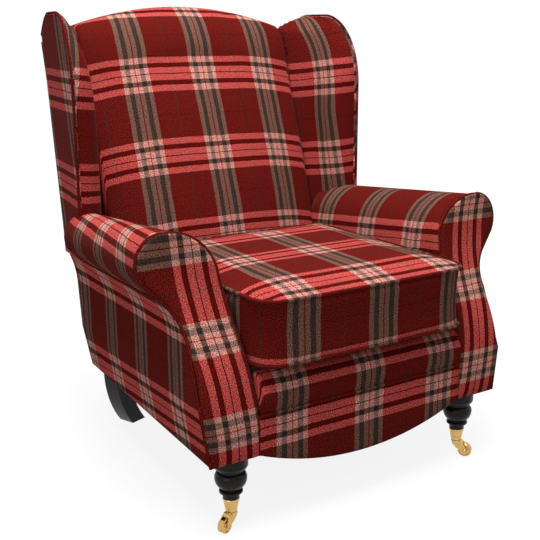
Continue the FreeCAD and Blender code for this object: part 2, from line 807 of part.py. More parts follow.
def wing_slab(side, outer, inner, inset=0.0, low=None):
    """Board between two depths under the wing's outer plane, cut to the wing's side view."""
    front = mm("wing_front_y") + inset
    front_foot = low or seam_height(front)
    rear_foot = low or seam_height(mm("back_high_y"))
    turn = below_top("wing_top_drop") - mm("wing_top_rise")
    top = below_top("wing_top_drop") - inset
    run = mm("wing_top_run")
    rise = mm("wing_top_rise") - inset
    bend = (front + run * (1 - math.cos(math.pi / 4)), turn + rise * math.sin(math.pi / 4))
    bend_z = below_top("wing_rear_drop") + mm("wing_rear_bend_up")
    steps = [((front, turn),),
             ((front + run * (1 - math.cos(math.pi / 8)), turn + rise * math.sin(math.pi / 8)),
              bend),
             ((front + run * (1 - math.cos(3 * math.pi / 8)),
               turn + rise * math.sin(3 * math.pi / 8)), (front + run, top)),
             ((mm("wing_crest_end_y") - inset / 2, top),),
             ((back_y(bend_z) - mm("wing_rear_bend_in") - inset, bend_z - inset),
              (back_y(below_top("wing_rear_drop")) - inset, below_top("wing_rear_drop") - inset)),
             ((mm("back_high_y"), below_top("wing_rear_drop") - inset - 60),),
             ((mm("back_high_y"), rear_foot),)]
    x_low, x_high = span(0, side * FAR)
    view = across(outline(in_side_view(0), (front, front_foot), steps), x_low, x_high)
    plan = outline(in_plan(0), (wing_outer_x(-FAR, side, outer), -FAR),
                   [((wing_outer_x(FAR, side, outer), FAR),),
                    ((wing_outer_x(FAR, side, inner), FAR),),
                    ((wing_outer_x(-FAR, side, inner), -FAR),)])
    slab = prism(plan, V(0, 0, HIGH))
    limit = number(POST_BEHIND)
    return view.common(slab).common(before_back(limit, x_low, x_high))


def wing_pad_section(z, side):
    """Level section through the padded inside of the wing."""
    skin = mm("wing_panel") + mm("seat_gap")
    front = wing_front_edge_y(z) + 1
    swell = max(0.0, (z - mm("wing_board_low")) / (below_top("wing_top_drop") - mm("wing_board_low")))
    outer_front = wing_outer_x(front, 1, skin)
    bulge_x = from_frame("wing_bulge_out")
    bulge_x += (outer_front - bulge_x - 12) * swell ** 4
    bulge_y = front + 34 - 14 * swell ** 4
    foot = seam_height(mm("back_high_y"))
    share = (z - foot) / (below_top("wing_top_drop") - foot)
    join_y = (mm("wing_junction_low_y") - 18
              + share * (mm("wing_junction_high_y") - mm("wing_junction_low_y") + 18))
    join_y = max(join_y, bulge_y + 30)
    valley = arch_z(from_frame("inside_back_out")) - 14
    lean = max(0.0, (z - valley) / (below_top("wing_top_drop") - valley))
    join_x = from_frame("inside_back_out") + mm("seat_gap") + 58 * lean ** 1.5
    rear_y = back_y(z) - number(POST_BEHIND) - 0.3
    outer_rear = wing_outer_x(rear_y, 1, skin)
    face_x = (outer_front + bulge_x) / 2 - 2
    face_y = front - 1 + 6
    side_x = (bulge_x + join_x) / 2 + 3
    side_y = (bulge_y + join_y) / 2
    return outline(in_plan(z), (side * outer_front, front),
                   [((side * face_x, face_y), (side * bulge_x, bulge_y)),
                    ((side * side_x, side_y), (side * join_x, join_y)),
                    ((side * join_x, rear_y),),
                    ((side * outer_rear, rear_y),)])


def wings(arm_room):
    """Outer panel, plywood board and padded inside of each wing."""
    gap = mm("seat_gap")
    skin = mm("wing_panel")
    for (name, side), room in zip(SIDES, arm_room):
        panel = wing_slab(side, 0, skin).cut(room)
        piece(name + "_wing_outside", panel)
        board = wing_slab(side, skin + gap, skin + gap + mm("wing_board"),
                          mm("wing_board_inset"), mm("wing_board_low"))
        piece(name + "_wing_frame", board)
        top = below_top("wing_top_drop")
        valley = arch_z(from_frame("inside_back_out"))
        low = seam_height(mm("back_high_y")) - 1
        turn = top - mm("wing_top_rise")
        levels = [low, 0.5 * (low + mm("wing_board_low"))]
        levels += [mm("wing_board_low") + (turn - mm("wing_board_low")) * i / 4 for i in range(4)]
        levels += [turn + (valley - 14 - turn) * i / 4 for i in range(5)]
        levels += [valley - 14 + (top - 0.6 - valley + 14) * i / 4 for i in range(1, 5)]
        pad_shape = loft([wing_pad_section(z, side) for z in levels], ruled=True)
        whole = wing_slab(side, skin + gap, mm("wing_depth"))
        pad_shape = pad_shape.common(whole).cut(room).cut(rail_room(side))
        board_room = wing_slab(side, skin, skin + 2 * gap + mm("wing_board"),
                               mm("wing_board_inset") - gap, mm("wing_board_low") - gap)
        pad_shape = pad_shape.cut(board_room)
        x_low, x_high = span(0, side * (mm("frame_half_width") + gap))
        post = across(outline(in_side_view(0), (-FAR, 0),
                              [((FAR, 0),), ((FAR, below_top("post_drop") + gap),),
                               ((-FAR, below_top("post_drop") + gap),)]), x_low, x_high)
        front = number(POST_BEHIND) + mm("post_depth") + gap
        pad_shape = pad_shape.cut(post.cut(before_back(front)))
        piece(name + "_wing_inside", pad_shape)


# Seat

def front_border():
    """Padded lip over the front rail and the bowed apron under the seam."""
    gap = mm("seat_gap")
    half = from_frame("arm_inner_low_out") - gap
    y = mm("facing_low_y") + mm("border_setback")
    wall = mm("apron_thickness")
    seam = mm("border_seam_z")
    rail_top = number(RAIL_TOP) + gap
    top = mm("lip_top")
    rear = y + mm("lip_depth")
    bulge = mm("lip_bulge")
    lip = outline(in_side_view(0), (y + 1, seam + gap),
                  [((y - bulge, (seam + top) / 2 - 6), (y + 8, top - 14)),
                   ((y + 16, top - 4), (y + 30, top)),
                   ((rear, top),), ((rear, rail_top),), ((y + wall, rail_top),),
                   ((y + wall, seam + gap),)])
    piece("front_lip_roll", across(lip, -half, half))
    low = mm("body_bottom")
    drop = mm("apron_drop")
    rail_half = from_frame("arm_inner_low_out") - 2 * gap
    face = outline(in_front_view(y), (-half, low),
                   [((0, low - drop - mm("apron_hem")), (half, low),),
                    ((half, seam),), ((-half, seam),)])
    panel = prism(face, V(0, wall, 0))
    piece("front_apron", panel)


def webbing():
    """Woven elastic straps: two layers under the seat and two behind the inside back."""
    gap = mm("seat_gap")
    thick = mm("webbing_thickness")
    wide = mm("webbing_width")
    half = number(RAIL_IN) - gap
    low = number(RAIL_TOP) + gap
    rear = number(REAR_RAIL_Y) + mm("timber") - 4
    front = mm("facing_low_y") + mm("border_setback") + mm("lip_depth") + gap
    straps = []
    count = 5
    reach = from_frame("arm_inner_low_out") - wide - 12
    for i in range(count):
        x = -reach + 2 * reach * i / (count - 1)
        straps.append(Part.makeBox(wide, rear - front, thick, V(x - wide / 2, front, low)))
    outer = number(RAIL_IN) + mm("timber") / 2
    for i in range(count):
        y = front + 90 + (rear - front - 180) * i / (count - 1)
        straps.append(Part.makeBox(2 * outer, wide, thick,
                                   V(-outer, y - wide / 2, low + thick + gap)))
    piece("seat_webbing", Part.makeCompound(straps))
    depth = number(POST_BEHIND) + mm("post_depth") + gap
    room = before_back(depth).cut(before_back(depth + thick, -FAR - 1, FAR + 1))
    bottom = mm("lower_back_rail_low") + 30
    top = arch_z(half) - mm("top_pad") - mm("top_rail_height") + 12
    straps = []
    for i in range(count):
        x = -reach + 2 * reach * i / (count - 1)
        bar = Part.makeBox(wide, 2 * FAR, top - bottom, V(x - wide / 2, -FAR, bottom))
        straps.append(bar.common(room))
    piece("back_webbing", Part.makeCompound(straps))


def seat_parts():
    """Padded platform, loose cushion and the cloth under the chair."""
    gap = mm("seat_gap")
    half = from_frame("arm_inner_low_out") - 2 * gap
    low = number(WEBBING_TOP)
    front = mm("facing_low_y") + mm("border_setback") + mm("lip_depth") + gap
    rear = mm("inside_back_foot_y") - gap
    platform = Part.makeBox(2 * half, rear - front, mm("platform_top") - low,
                            V(-half, front, low))
    piece("seat_platform", platform)
    piece("seat_cushion", cushion())
    thick = mm("dust_cover_thickness")
    inset = mm("dust_cover_inset")
    x = mm("frame_half_width") - inset
    y_low = number(FRONT_RAIL_Y) + inset
    y_high = number(REAR_RAIL_Y) + mm("timber") - inset
    cloth = Part.makeBox(2 * x, y_high - y_low, thick,
                         V(-x, y_low, mm("body_bottom") - thick - gap))
    for name, side in SIDES:
        hole = Part.makeCylinder(mm("collar_radius") + 2, 40,
                                 V(side * from_frame("leg_out"), mm("leg_y"), mm("body_bottom") - 20))
        cloth = cloth.cut(hole)
        top_x, top_y = rear_leg_top(side)
        hole = Part.makeCylinder(mm("rear_leg_top_width") * 0.75, 40,
                                 V(top_x, top_y, mm("body_bottom") - 20))
        cloth = cloth.cut(hole)
    bow = Part.makeBox(2 * number(RAIL_IN), mm("timber") + inset, 10,
                       V(-number(RAIL_IN), number(FRONT_RAIL_Y) - 1, mm("body_bottom") - 5))
    piece("dust_cover", cloth.cut(bow))


def cushion_plan(z):
    """Plan of the cushion: slightly bowed sides and round corners."""
    half = from_frame("cushion_out")
    front = mm("cushion_front_y")
    rear = mm("cushion_rear_y")
    corner = mm("cushion_corner")
    middle = (front + rear) / 2
    bow = mm("cushion_bow")
    cut = corner * (1 - math.sqrt(0.5))
    small = corner / 2
    nick = small * (1 - math.sqrt(0.5))
    return outline(in_plan(z), (-half + corner, front), [
        ((0, front - bow), (half - corner, front)),
        ((half - cut, front + cut), (half, front + corner)),
        ((half + bow, middle), (half, rear - small)),
        ((half - nick, rear - nick), (half - small, rear)),
        ((-half + small, rear),),
        ((-half + nick, rear - nick), (-half, rear - small)),
        ((-half - bow, middle), (-half, front + corner)),
        ((-half + cut, front + cut), (-half + corner, front)),
    ])


def cushion_view(place, low, high):
    """Upright outline of the cushion between two sides: crowned top, drawn-in boxing."""
    base = mm("platform_top") + mm("seat_gap")
    under = mm("cushion_low_seam")
    seam = mm("cushion_top_seam")
    crest = seam + mm("cushion_crown")
    roll = mm("cushion_roll")
    tuck = mm("cushion_under_roll")
    drawn = mm("cushion_bow") + 2
    half_up = (under + seam) / 2
    shoulder = seam + 0.8 * mm("cushion_crown")
    near_seam = seam + 0.5 * mm("cushion_crown")
    return outline(place, (low + tuck, base), [
        ((high - tuck, base),), ((high, under),),
        ((high - drawn, half_up), (high, seam)),
        ((high - 0.3 * roll, near_seam), (high - roll, shoulder)),
        (((low + high) / 2, crest), (low + roll, shoulder)),
        ((low + 0.3 * roll, near_seam), (low, seam)),
        ((low + drawn, half_up), (low, under)),
    ])


def cushion():
    half = from_frame("cushion_out") + mm("cushion_bow")
    front = mm("cushion_front_y") - mm("cushion_bow")
    plan = prism(cushion_plan(0), V(0, 0, HIGH))
    along = across(cushion_view(in_side_view(0), front, mm("cushion_rear_y")), -FAR, FAR)
    wide = prism(cushion_view(in_front_view(-FAR), -half, half), V(0, 2 * FAR, 0))
    return plan.common(along).common(wide)


# Legs

def front_leg(name, side):
    """Turned leg: collar, bulb, ring and a taper that fills the castor's cup."""
    body = new_body(name + "_front_leg")
    gap = "sizes.seat_gap"
    shoulder = "(sizes.cup_top + " + gap + ")"
    cup_floor = "(sizes.cup_bottom + sizes.cup_floor)"
    inner_top = "(sizes.cup_top_radius - sizes.cup_wall - " + gap + ")"
    inner_low = "(sizes.cup_bottom_radius - sizes.cup_wall - " + gap + " + 0.4)"
    pocket = "(sizes.swivel_head_radius + 1)"
    pocket_top = "(" + cup_floor + " + sizes.swivel_head_height + 2)"
    ring_low = "(sizes.ring_z - sizes.ring_height / 2)"
    ring_high = "(sizes.ring_z + sizes.ring_height / 2)"
    corners = [
        ("0", "sizes.body_bottom"), ("0", pocket_top), (pocket, pocket_top),
        (pocket, cup_floor), (inner_low, cup_floor), (inner_top, shoulder),
        ("sizes.cup_top_radius - 0.3", shoulder), ("sizes.ankle_radius - 1", ring_low),
        ("sizes.ring_radius - 1.5", ring_low), ("sizes.ring_radius", ring_low + " + 1.5"),
        ("sizes.ring_radius", ring_high + " - 1.5"), ("sizes.ring_radius - 1.5", ring_high),
        ("sizes.ankle_radius", ring_high), ("sizes.ankle_radius", "sizes.bulb_low"),
        ("sizes.bulb_radius", "(sizes.bulb_low + 0.62 * (sizes.neck_z - sizes.bulb_low))"),
        ("sizes.neck_radius", "sizes.neck_z"), ("sizes.neck_radius", "sizes.collar_low - 3"),
        ("sizes.collar_radius - 3", "sizes.collar_low"),
        ("sizes.collar_radius", "(sizes.collar_low + 6)"),
        ("sizes.collar_radius", "sizes.body_bottom"),
    ]
    arcs = {13: ("sizes.bulb_radius * 0.8", -1), 14: ("sizes.bulb_radius * 0.45", -1)}
    sketch = bound_sketch(body, name + "_leg_profile", "XZ_Plane", corners, arcs)
    turned(body, name + "_leg_turning", sketch)
    bolt_hole(body, name + "_front_bolt_hole", "0", "0")
    body.setExpression("Placement.Base.x", "%d * (sizes.frame_half_width + sizes.leg_out)" % side)
    body.setExpression("Placement.Base.y", "sizes.leg_y")


def rear_leg_top(side):
    turn = math.radians(mm("rear_leg_turn"))
    sweep = mm("rear_leg_sweep")
    return (side * (from_frame("rear_foot_out") + sweep * math.cos(turn)),
            mm("rear_foot_y") - sweep * math.sin(turn))


def rear_leg(name, side):
    """Sabre leg, sawn to a curve and set at an angle under the corner of the frame."""
    body = new_body(name + "_rear_leg")
    half = "(sizes.rear_leg_width / 2)"
    top_half = "(sizes.rear_leg_top_width / 2)"
    sweep = "sizes.rear_leg_sweep"
    radius = ("((sizes.rear_leg_curve_top * sizes.rear_leg_curve_top + %s * %s) / (2 * %s))"
              % (sweep, sweep, sweep))
    high = "sizes.body_bottom"
    bend = "sizes.rear_leg_curve_top"
    corners = [("-" + half, "0"), (half, "0"), (sweep + " + " + half, bend),
               (sweep + " + " + top_half, high), (sweep + " - " + top_half, high),
               (sweep + " - " + half, bend)]
    sketch = bound_sketch(body, name + "_sabre_outline", "XZ_Plane", corners,
                          {1: (radius, -1), 5: (radius, 1)})
    pad(body, name + "_sabre_board", sketch, "sizes.rear_leg_width", midplane=True)
    aside = "sizes.rear_bolt_aside" if side > 0 else "-sizes.rear_bolt_aside"
    bolt_hole(body, name + "_rear_bolt_hole", "sizes.rear_bolt_along", aside)
    turn = mm("rear_leg_turn")
    angle = -turn if side > 0 else 180 + turn
    place = V(side * from_frame("rear_foot_out"), mm("rear_foot_y"), 0)
    body.Placement = FreeCAD.Placement(place, FreeCAD.Rotation(V(0, 0, 1), angle))


def bolt_hole(body, name, x, y):
    """Blind hole down into the top of a leg."""
    circle = lifted(round_sketch(body, name + "_circle", "XY_Plane",
                                 "sizes.leg_bolt_radius + sizes.seat_gap", x, y),
                    "sizes.body_bottom")
    pocket(body, name, circle, "sizes.leg_bolt_reach + 2", midplane=False)


def bolt_places(side):
    """Bolt axes of the front and the rear leg of one side."""
    turn = math.radians(mm("rear_leg_turn"))
    along = mm("rear_bolt_along")
    aside = mm("rear_bolt_aside")
    x = from_frame("rear_foot_out") + along * math.cos(turn) + aside * math.sin(turn)
    y = mm("rear_foot_y") - along * math.sin(turn) + aside * math.cos(turn)
    return (side * from_frame("leg_out"), mm("leg_y")), (side * x, y)


def bolt_room(side):
    """Room that the upper ends of the two bolts of one side take in the frame."""
    radius = mm("leg_bolt_radius") + mm("seat_gap")
    holes = [Part.makeCylinder(radius, mm("leg_bolt_reach") + 2, V(x, y, mm("body_bottom")))
             for x, y in bolt_places(side)]
    return Part.makeCompound(holes)


def leg_bolts():
    """Hanger bolts that join the four legs to the frame."""
    reach = mm("leg_bolt_reach")
    bolts = []
    for name, side in SIDES:
        for x, y in bolt_places(side):
            bolts.append(Part.makeCylinder(mm("leg_bolt_radius"), 2 * reach,
                                           V(x, y, mm("body_bottom") - reach)))
    piece("leg_bolts", Part.makeCompound(bolts))


# Castors

def castor_place(name, side):
    turn = mm(name + "_castor_turn")
    spin = FreeCAD.Rotation(V(0, 0, 1), turn)
    return FreeCAD.Placement(V(side * from_frame("leg_out"), mm("leg_y"), 0), spin)


def castor_cup(name, side):
    """Tapered brass ferrule with a floor that the castor's pin turns in."""
    body = new_body(name + "_castor_cup")
    bore = "(sizes.swivel_pin_radius + sizes.running_gap)"
    floor = "(sizes.cup_bottom + sizes.cup_floor)"
    corners = [
        (bore, "sizes.cup_bottom"), ("sizes.cup_bottom_radius - 1", "sizes.cup_bottom"),
        ("sizes.cup_bottom_radius", "sizes.cup_bottom + 1"),
        ("sizes.cup_top_radius - 0.6", "sizes.cup_top - 4"),
        ("sizes.cup_top_radius + 0.5", "sizes.cup_top - 3"),
        ("sizes.cup_top_radius + 0.5", "sizes.cup_top - 0.8"),
        ("sizes.cup_top_radius", "sizes.cup_top"),
        ("sizes.cup_top_radius - sizes.cup_wall", "sizes.cup_top"),
        ("(sizes.cup_bottom_radius - sizes.cup_wall + 0.4)", floor), (bore, floor),
    ]
    sketch = bound_sketch(body, name + "_cup_profile", "XZ_Plane", corners)
    turned(body, name + "_cup_turning", sketch)
    body.setExpression("Placement.Base.x", "%d * (sizes.frame_half_width + sizes.leg_out)" % side)
    body.setExpression("Placement.Base.y", "sizes.leg_y")


def pocket(body, name, sketch, length, midplane=True):
    feature = body.newObject("PartDesign::Pocket", name)
    feature.Profile = sketch
    feature.setExpression("Length", length)
    feature.Midplane = midplane
    return feature


def round_sketch(body, name, role, radius, x="0", y="0"):
    sketch = body.newObject("Sketcher::SketchObject", name)
    sketch.AttachmentSupport = [(plane_of(body, role), "")]
    sketch.MapMode = "FlatFace"
    centre = V(number(x), number(y), 0)
    sketch.addGeometry(Part.Circle(centre, V(0, 0, 1), number(radius)))
    index = sketch.addConstraint(Sketcher.Constraint("Radius", 0, number(radius)))
    sketch.renameConstraint(index, "radius")
    sketch.setExpression("Constraints.radius", radius)
    if x == "0":
        sketch.addConstraint(Sketcher.Constraint("Coincident", 0, 3, -1, 1))
        return sketch
    for letter, text, kind in (("x", x, "DistanceX"), ("y", y, "DistanceY")):
        index = sketch.addConstraint(Sketcher.Constraint(kind, -1, 1, 0, 3, number(text)))
        sketch.renameConstraint(index, letter)
        sketch.setExpression("Constraints." + letter, text)
    return sketch


def lifted(sketch, height):
    """Raise a sketch on the ground plane to a height of the sheet."""
    sketch.setExpression("AttachmentOffset.Base.z", height)
    return sketch


def castor_horn(name, side):
    """Forked brass horn with its swivel pin and riveted head."""
    body = new_body(name + "_castor_horn")
    plate_top = "(sizes.cup_bottom - sizes.seat_gap)"
    plate_low = "(" + plate_top + " - sizes.horn_plate_height)"
    slot = "(sizes.wheel_width + 1.2)"
    width = "(" + slot + " + 2 * sizes.horn_cheek)"
    boss = "sizes.horn_boss_radius"
    axle_z = "sizes.wheel_radius"
    corners = [
        ("-sizes.horn_plate_radius + 3", plate_low + " + 0.5"),
        ("-sizes.horn_plate_radius + 3", plate_low + " - 2.5"),
        ("sizes.trail - %s" % boss, axle_z), ("sizes.trail + %s" % boss, axle_z),
        ("sizes.horn_plate_radius", plate_low + " + 0.5"),
    ]
    arcs = {1: ("sizes.trail * 1.6", -1), 2: (boss + " * 1.02", -1),
            3: ("sizes.trail * 1.5", -1)}
    sketch = bound_sketch(body, name + "_cheek_outline", "XZ_Plane", corners, arcs)
    pad(body, name + "_cheeks", sketch, width, midplane=True)
    disc = lifted(round_sketch(body, name + "_plate_circle", "XY_Plane",
                               "sizes.horn_plate_radius"), plate_low)
    pad(body, name + "_plate", disc, "sizes.horn_plate_height")
    pin = lifted(round_sketch(body, name + "_pin_circle", "XY_Plane",
                              "sizes.swivel_pin_radius"), plate_top)
    reach = "(sizes.cup_floor + 2 * sizes.seat_gap)"
    pad(body, name + "_pin", pin, reach + " + sizes.swivel_head_height")
    head = lifted(round_sketch(body, name + "_head_circle", "XY_Plane",
                               "sizes.swivel_head_radius"), plate_top + " + " + reach)
    pad(body, name + "_head", head, "sizes.swivel_head_height")
    room = [
        ("-sizes.horn_plate_radius - 3", "sizes.wheel_radius * 2 + 0.8"),
        ("-sizes.horn_plate_radius - 3", "sizes.wheel_radius - 12"),
        ("sizes.trail + 16", "sizes.wheel_radius - 12"),
        ("sizes.trail + 16", "sizes.wheel_radius * 2 + 0.8"),
    ]
    cut = bound_sketch(body, name + "_slot_outline", "XZ_Plane", room)
    pocket(body, name + "_slot", cut, slot)
    hole = round_sketch(body, name + "_axle_circle", "XZ_Plane",
                        "sizes.axle_radius + sizes.running_gap", "sizes.trail",
                        "sizes.wheel_radius")
    pocket(body, name + "_axle_hole", hole, width + " + 2")
    body.Placement = castor_place(name, side)


def axle_place(name, side):
    lying = FreeCAD.Placement(V(mm("trail"), 0, mm("wheel_radius")),
                              FreeCAD.Rotation(V(1, 0, 0), 90))
    return castor_place(name, side).multiply(lying)


def castor_wheel(name, side):
    """Solid brass wheel: domed tread, recessed faces and a hub."""
    body = new_body(name + "_castor_wheel")
    bore = "(sizes.axle_radius + sizes.running_gap)"
    rim = "sizes.wheel_radius"
    half = "(sizes.wheel_width / 2)"
    corners = [
        (bore, "-" + half), ("6", "-" + half), ("7", "-" + half + " + 1.6"),
        (rim + " - 4", "-" + half + " + 1.6"), (rim + " - 3", "-" + half),
        (rim + " - 1.2", "-" + half), (rim, "-" + half + " + 1.4"),
        (rim, half + " - 1.4"), (rim + " - 1.2", half), (rim + " - 3", half),
        (rim + " - 4", half + " - 1.6"), ("7", half + " - 1.6"), ("6", half), (bore, half),
    ]
    sketch = bound_sketch(body, name + "_wheel_profile", "XZ_Plane", corners)
    turned(body, name + "_wheel_turning", sketch)
    body.Placement = axle_place(name, side)


def castor_axle(name, side):
    """Riveted pin through both cheeks."""
    body = new_body(name + "_castor_axle")
    cheek = "(sizes.wheel_width / 2 + 0.6 + sizes.horn_cheek + 0.2)"
    top = "(" + cheek + " + sizes.axle_head_height)"
    head = "sizes.axle_head_radius"
    corners = [
        ("0", "-" + top), (head + " - 1.2", "-" + top), (head, "-" + cheek),
        ("sizes.axle_radius", "-" + cheek), ("sizes.axle_radius", cheek), (head, cheek),
        (head + " - 1.2", top), ("0", top),
    ]
    sketch = bound_sketch(body, name + "_axle_profile", "XZ_Plane", corners)
    turned(body, name + "_axle_turning", sketch)
    body.Placement = axle_place(name, side)


seat_rails()
corner_blocks()
back_frame()
arm_timber()
arms()
rooms = [arm_mass(side, mm("seat_gap")) for name, side in SIDES]
back_panels(rooms)
wings(rooms)
front_border()
webbing()
seat_parts()
leg_bolts()
for name, side in SIDES:
    front_leg(name, side)
    rear_leg(name, side)
    castor_cup(name, side)
    castor_horn(name, side)
    castor_wheel(name, side)
    castor_axle(name, side)
doc.recompute()


# Check every object, then write each sub-part to its own file

KINDS = ("PartDesign::Body", "Part::Box", "Part::Feature")
faults = []
nodes = []
for item in doc.Objects:
    if "Invalid" in item.State or "Error" in item.State:
        faults.append("%s is %s" % (item.Name, item.State))
    if item.TypeId in KINDS:
        nodes.append(item)
for node in nodes:
    if node.Shape.isNull() or not node.Shape.isValid():
        faults.append("%s has no valid shape" % node.Label)
if faults:
    raise RuntimeError("; ".join(faults))

os.makedirs("parts", exist_ok=True)
whole = FreeCAD.BoundBox()
for node in nodes:
    node.Shape.exportStep("parts/" + node.Label + ".step")
    whole.add(node.Shape.optimalBoundingBox(True, False))
    print("%-24s solids %2d  volume %10.0f" % (node.Label, len(node.Shape.Solids),
                                               node.Shape.Volume))
print("nodes", len(nodes))
print("box x %.1f %.1f  y %.1f %.1f  z %.1f %.1f" % (whole.XMin, whole.XMax, whole.YMin,
                                                    whole.YMax, whole.ZMin, whole.ZMax))
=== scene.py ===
# %% [markdown]
# # A wing-back fireside chair in red tartan
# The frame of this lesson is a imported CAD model: timber rails, posts, legs and castors. This
# script dresses it. Every cover is a cut piece of wool cloth with its own grain, so each piece
# gets its own mesh and its own flat cloth coordinates in metres.

# %% Load the frame
import math

import bmesh
import bpy
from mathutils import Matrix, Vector, noise


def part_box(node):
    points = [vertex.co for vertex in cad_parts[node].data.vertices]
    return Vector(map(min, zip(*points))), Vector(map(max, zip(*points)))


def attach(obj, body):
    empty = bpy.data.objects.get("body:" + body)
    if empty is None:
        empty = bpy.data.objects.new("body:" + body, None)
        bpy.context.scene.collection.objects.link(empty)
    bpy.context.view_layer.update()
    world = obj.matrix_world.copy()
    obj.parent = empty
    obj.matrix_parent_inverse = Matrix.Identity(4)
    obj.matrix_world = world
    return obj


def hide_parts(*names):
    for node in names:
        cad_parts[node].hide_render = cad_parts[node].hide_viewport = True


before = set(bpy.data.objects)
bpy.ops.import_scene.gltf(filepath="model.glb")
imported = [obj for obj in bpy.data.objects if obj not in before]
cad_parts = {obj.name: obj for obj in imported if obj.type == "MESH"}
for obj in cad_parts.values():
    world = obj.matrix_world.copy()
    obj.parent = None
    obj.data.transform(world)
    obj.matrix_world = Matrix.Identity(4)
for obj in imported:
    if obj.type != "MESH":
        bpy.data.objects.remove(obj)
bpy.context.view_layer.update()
SIDES = (("left", -1), ("right", 1))

# %% [markdown]
# ## The chair's curves
# The upholstery follows a handful of lines that the joiner sets out once: the raked back, the
# arched top, the scooped arm front and the section of the scroll. Working in millimetres keeps
# them readable, and only the last step turns them into metres.

# %% Curves in millimetres
# Heights are z, depths are y and grow to the rear, and half widths are x
TOP = 1050.0
ARCH_RADIUS = 912.0
FOOT_Z = 166
FRONT_Y = -429.0
ARM_FRONT_Y = -313.0
ARM_REAR_Y = 205.0
ROLL_DROP = 42
ROLL_TUCK = 34
SEAM_FRONT_Z = 486
SCOOP_LOW_Z = 212
SCOOP_HIGH_Z = 598
BACK_HALF = 302.7
BACK_FOOT_Z = 273.0
BACK_SEAT_Z = 470
BACK_BEND_Z = 520
WING_FRONT_X = 402
WING_FRONT_Y = 144.0
WING_BEND_Z = 850
WING_TOP_Z = 1027
WING_TIP = 125


def between(value, low, high):
    return max(low, min(high, value))


def blend(a, b, share):
    return a + (b - a) * share


def part_way(a, b, share):
    """The point at a share of the way from a to b."""
    return tuple(blend(p, q, share) for p, q in zip(a, b))


def back_y(z):
    """Rear face of the back, which bends once."""
    bend_y = 319.7
    if z < BACK_BEND_Z:
        return blend(266.0, bend_y, (z - FOOT_Z) / (BACK_BEND_Z - FOOT_Z))
    return blend(bend_y, 449.4, (z - BACK_BEND_Z) / 520)


def arch_z(x):
    """Top edge of the back."""
    return TOP - ARCH_RADIUS + math.sqrt(ARCH_RADIUS ** 2 - x ** 2)


SCOOP_DEPTH = ARM_FRONT_Y - FRONT_Y
SCOOP_RADIUS = (SCOOP_DEPTH ** 2 + (SCOOP_HIGH_Z - SCOOP_LOW_Z) ** 2) / (4 * SCOOP_DEPTH)


def scoop_y(z):
    """Front line of the arm, two arcs that meet half way up the scoop."""
    if z <= SCOOP_LOW_Z:
        return FRONT_Y
    if z <= (SCOOP_LOW_Z + SCOOP_HIGH_Z) / 2:
        return FRONT_Y + SCOOP_RADIUS - math.sqrt(SCOOP_RADIUS ** 2 - (z - SCOOP_LOW_Z) ** 2)
    if z <= SCOOP_HIGH_Z:
        return ARM_FRONT_Y - SCOOP_RADIUS + math.sqrt(SCOOP_RADIUS ** 2 - (SCOOP_HIGH_Z - z) ** 2)
    return ARM_FRONT_Y


def roll_share(y):
    """0 at the front of the arm's roll, 1 at its rear."""
    return (y - ARM_FRONT_Y) / (ARM_REAR_Y - ARM_FRONT_Y)


def seam_z(y):
    """Seam under the roll, which falls by about half as much as the roll."""
    return SEAM_FRONT_Z - 0.55 * roll_share(y) * ROLL_DROP


def panel_tuck(y):
    """How far the outside of the arm stands in from its place at the front."""
    return ROLL_TUCK * (y - FRONT_Y) / (ARM_REAR_Y - FRONT_Y)


def back_reach(x):
    """0 in the middle of the back, 1 at its sides."""
    return (abs(x) / BACK_HALF) ** 2.2


def back_front_y(z, x):
    """Front of the inside back below its top roll."""
    share = (z - BACK_SEAT_Z) / 450
    crown = blend(48.0, 22.0, between(share, 0, 1))
    return blend(150.0, 318.0, share) + crown * back_reach(x)


def wing_x(y):
    """Outer face of the wing, which tapers to the rear."""
    return WING_FRONT_X - 0.132 * (y - WING_FRONT_Y)


def wing_edge_y(z):
    """Front edge of the wing, which curls back to its tip."""
    if z <= WING_BEND_Z:
        return WING_FRONT_Y
    share = min(1.0, (z - WING_BEND_Z) / (WING_TOP_Z - WING_BEND_Z))
    return WING_FRONT_Y + WING_TIP * (1 - math.sqrt(1 - share ** 2))


def lengths(points):
    """Running length along a row of points."""
    out = [0.0]
    for a, b in zip(points, points[1:]):
        out.append(out[-1] + math.dist(a, b))
    return out


class Curve:
    """A line through points, read by its share of the length from 0 to 1."""

    def __init__(self, points):
        self.points = points
        self.run = lengths(points)
        self.length = self.run[-1]

    def at(self, share):
        goal = between(share, 0, 1) * self.length
        for i in range(len(self.run) - 1):
            if goal <= self.run[i + 1] or i == len(self.run) - 2:
                step = self.run[i + 1] - self.run[i]
                part = (goal - self.run[i]) / step if step else 0.0
                return part_way(self.points[i], self.points[i + 1], part)


def around(front, rear, share, v):
    """Spot and length on a closed section, whose front takes the first share of v."""
    if v <= share:
        return front.at(v / share), front.length * v / share
    part = (v - share) / (1 - share)
    return rear.at(part), front.length + rear.length * part


def arc_points(centre, radius, start, end, count=12):
    """Points on a circle between two angles in degrees."""
    out = []
    for i in range(count + 1):
        angle = math.radians(blend(start, end, i / count))
        out.append((centre[0] + radius * math.cos(angle), centre[1] + radius * math.sin(angle)))
    return out


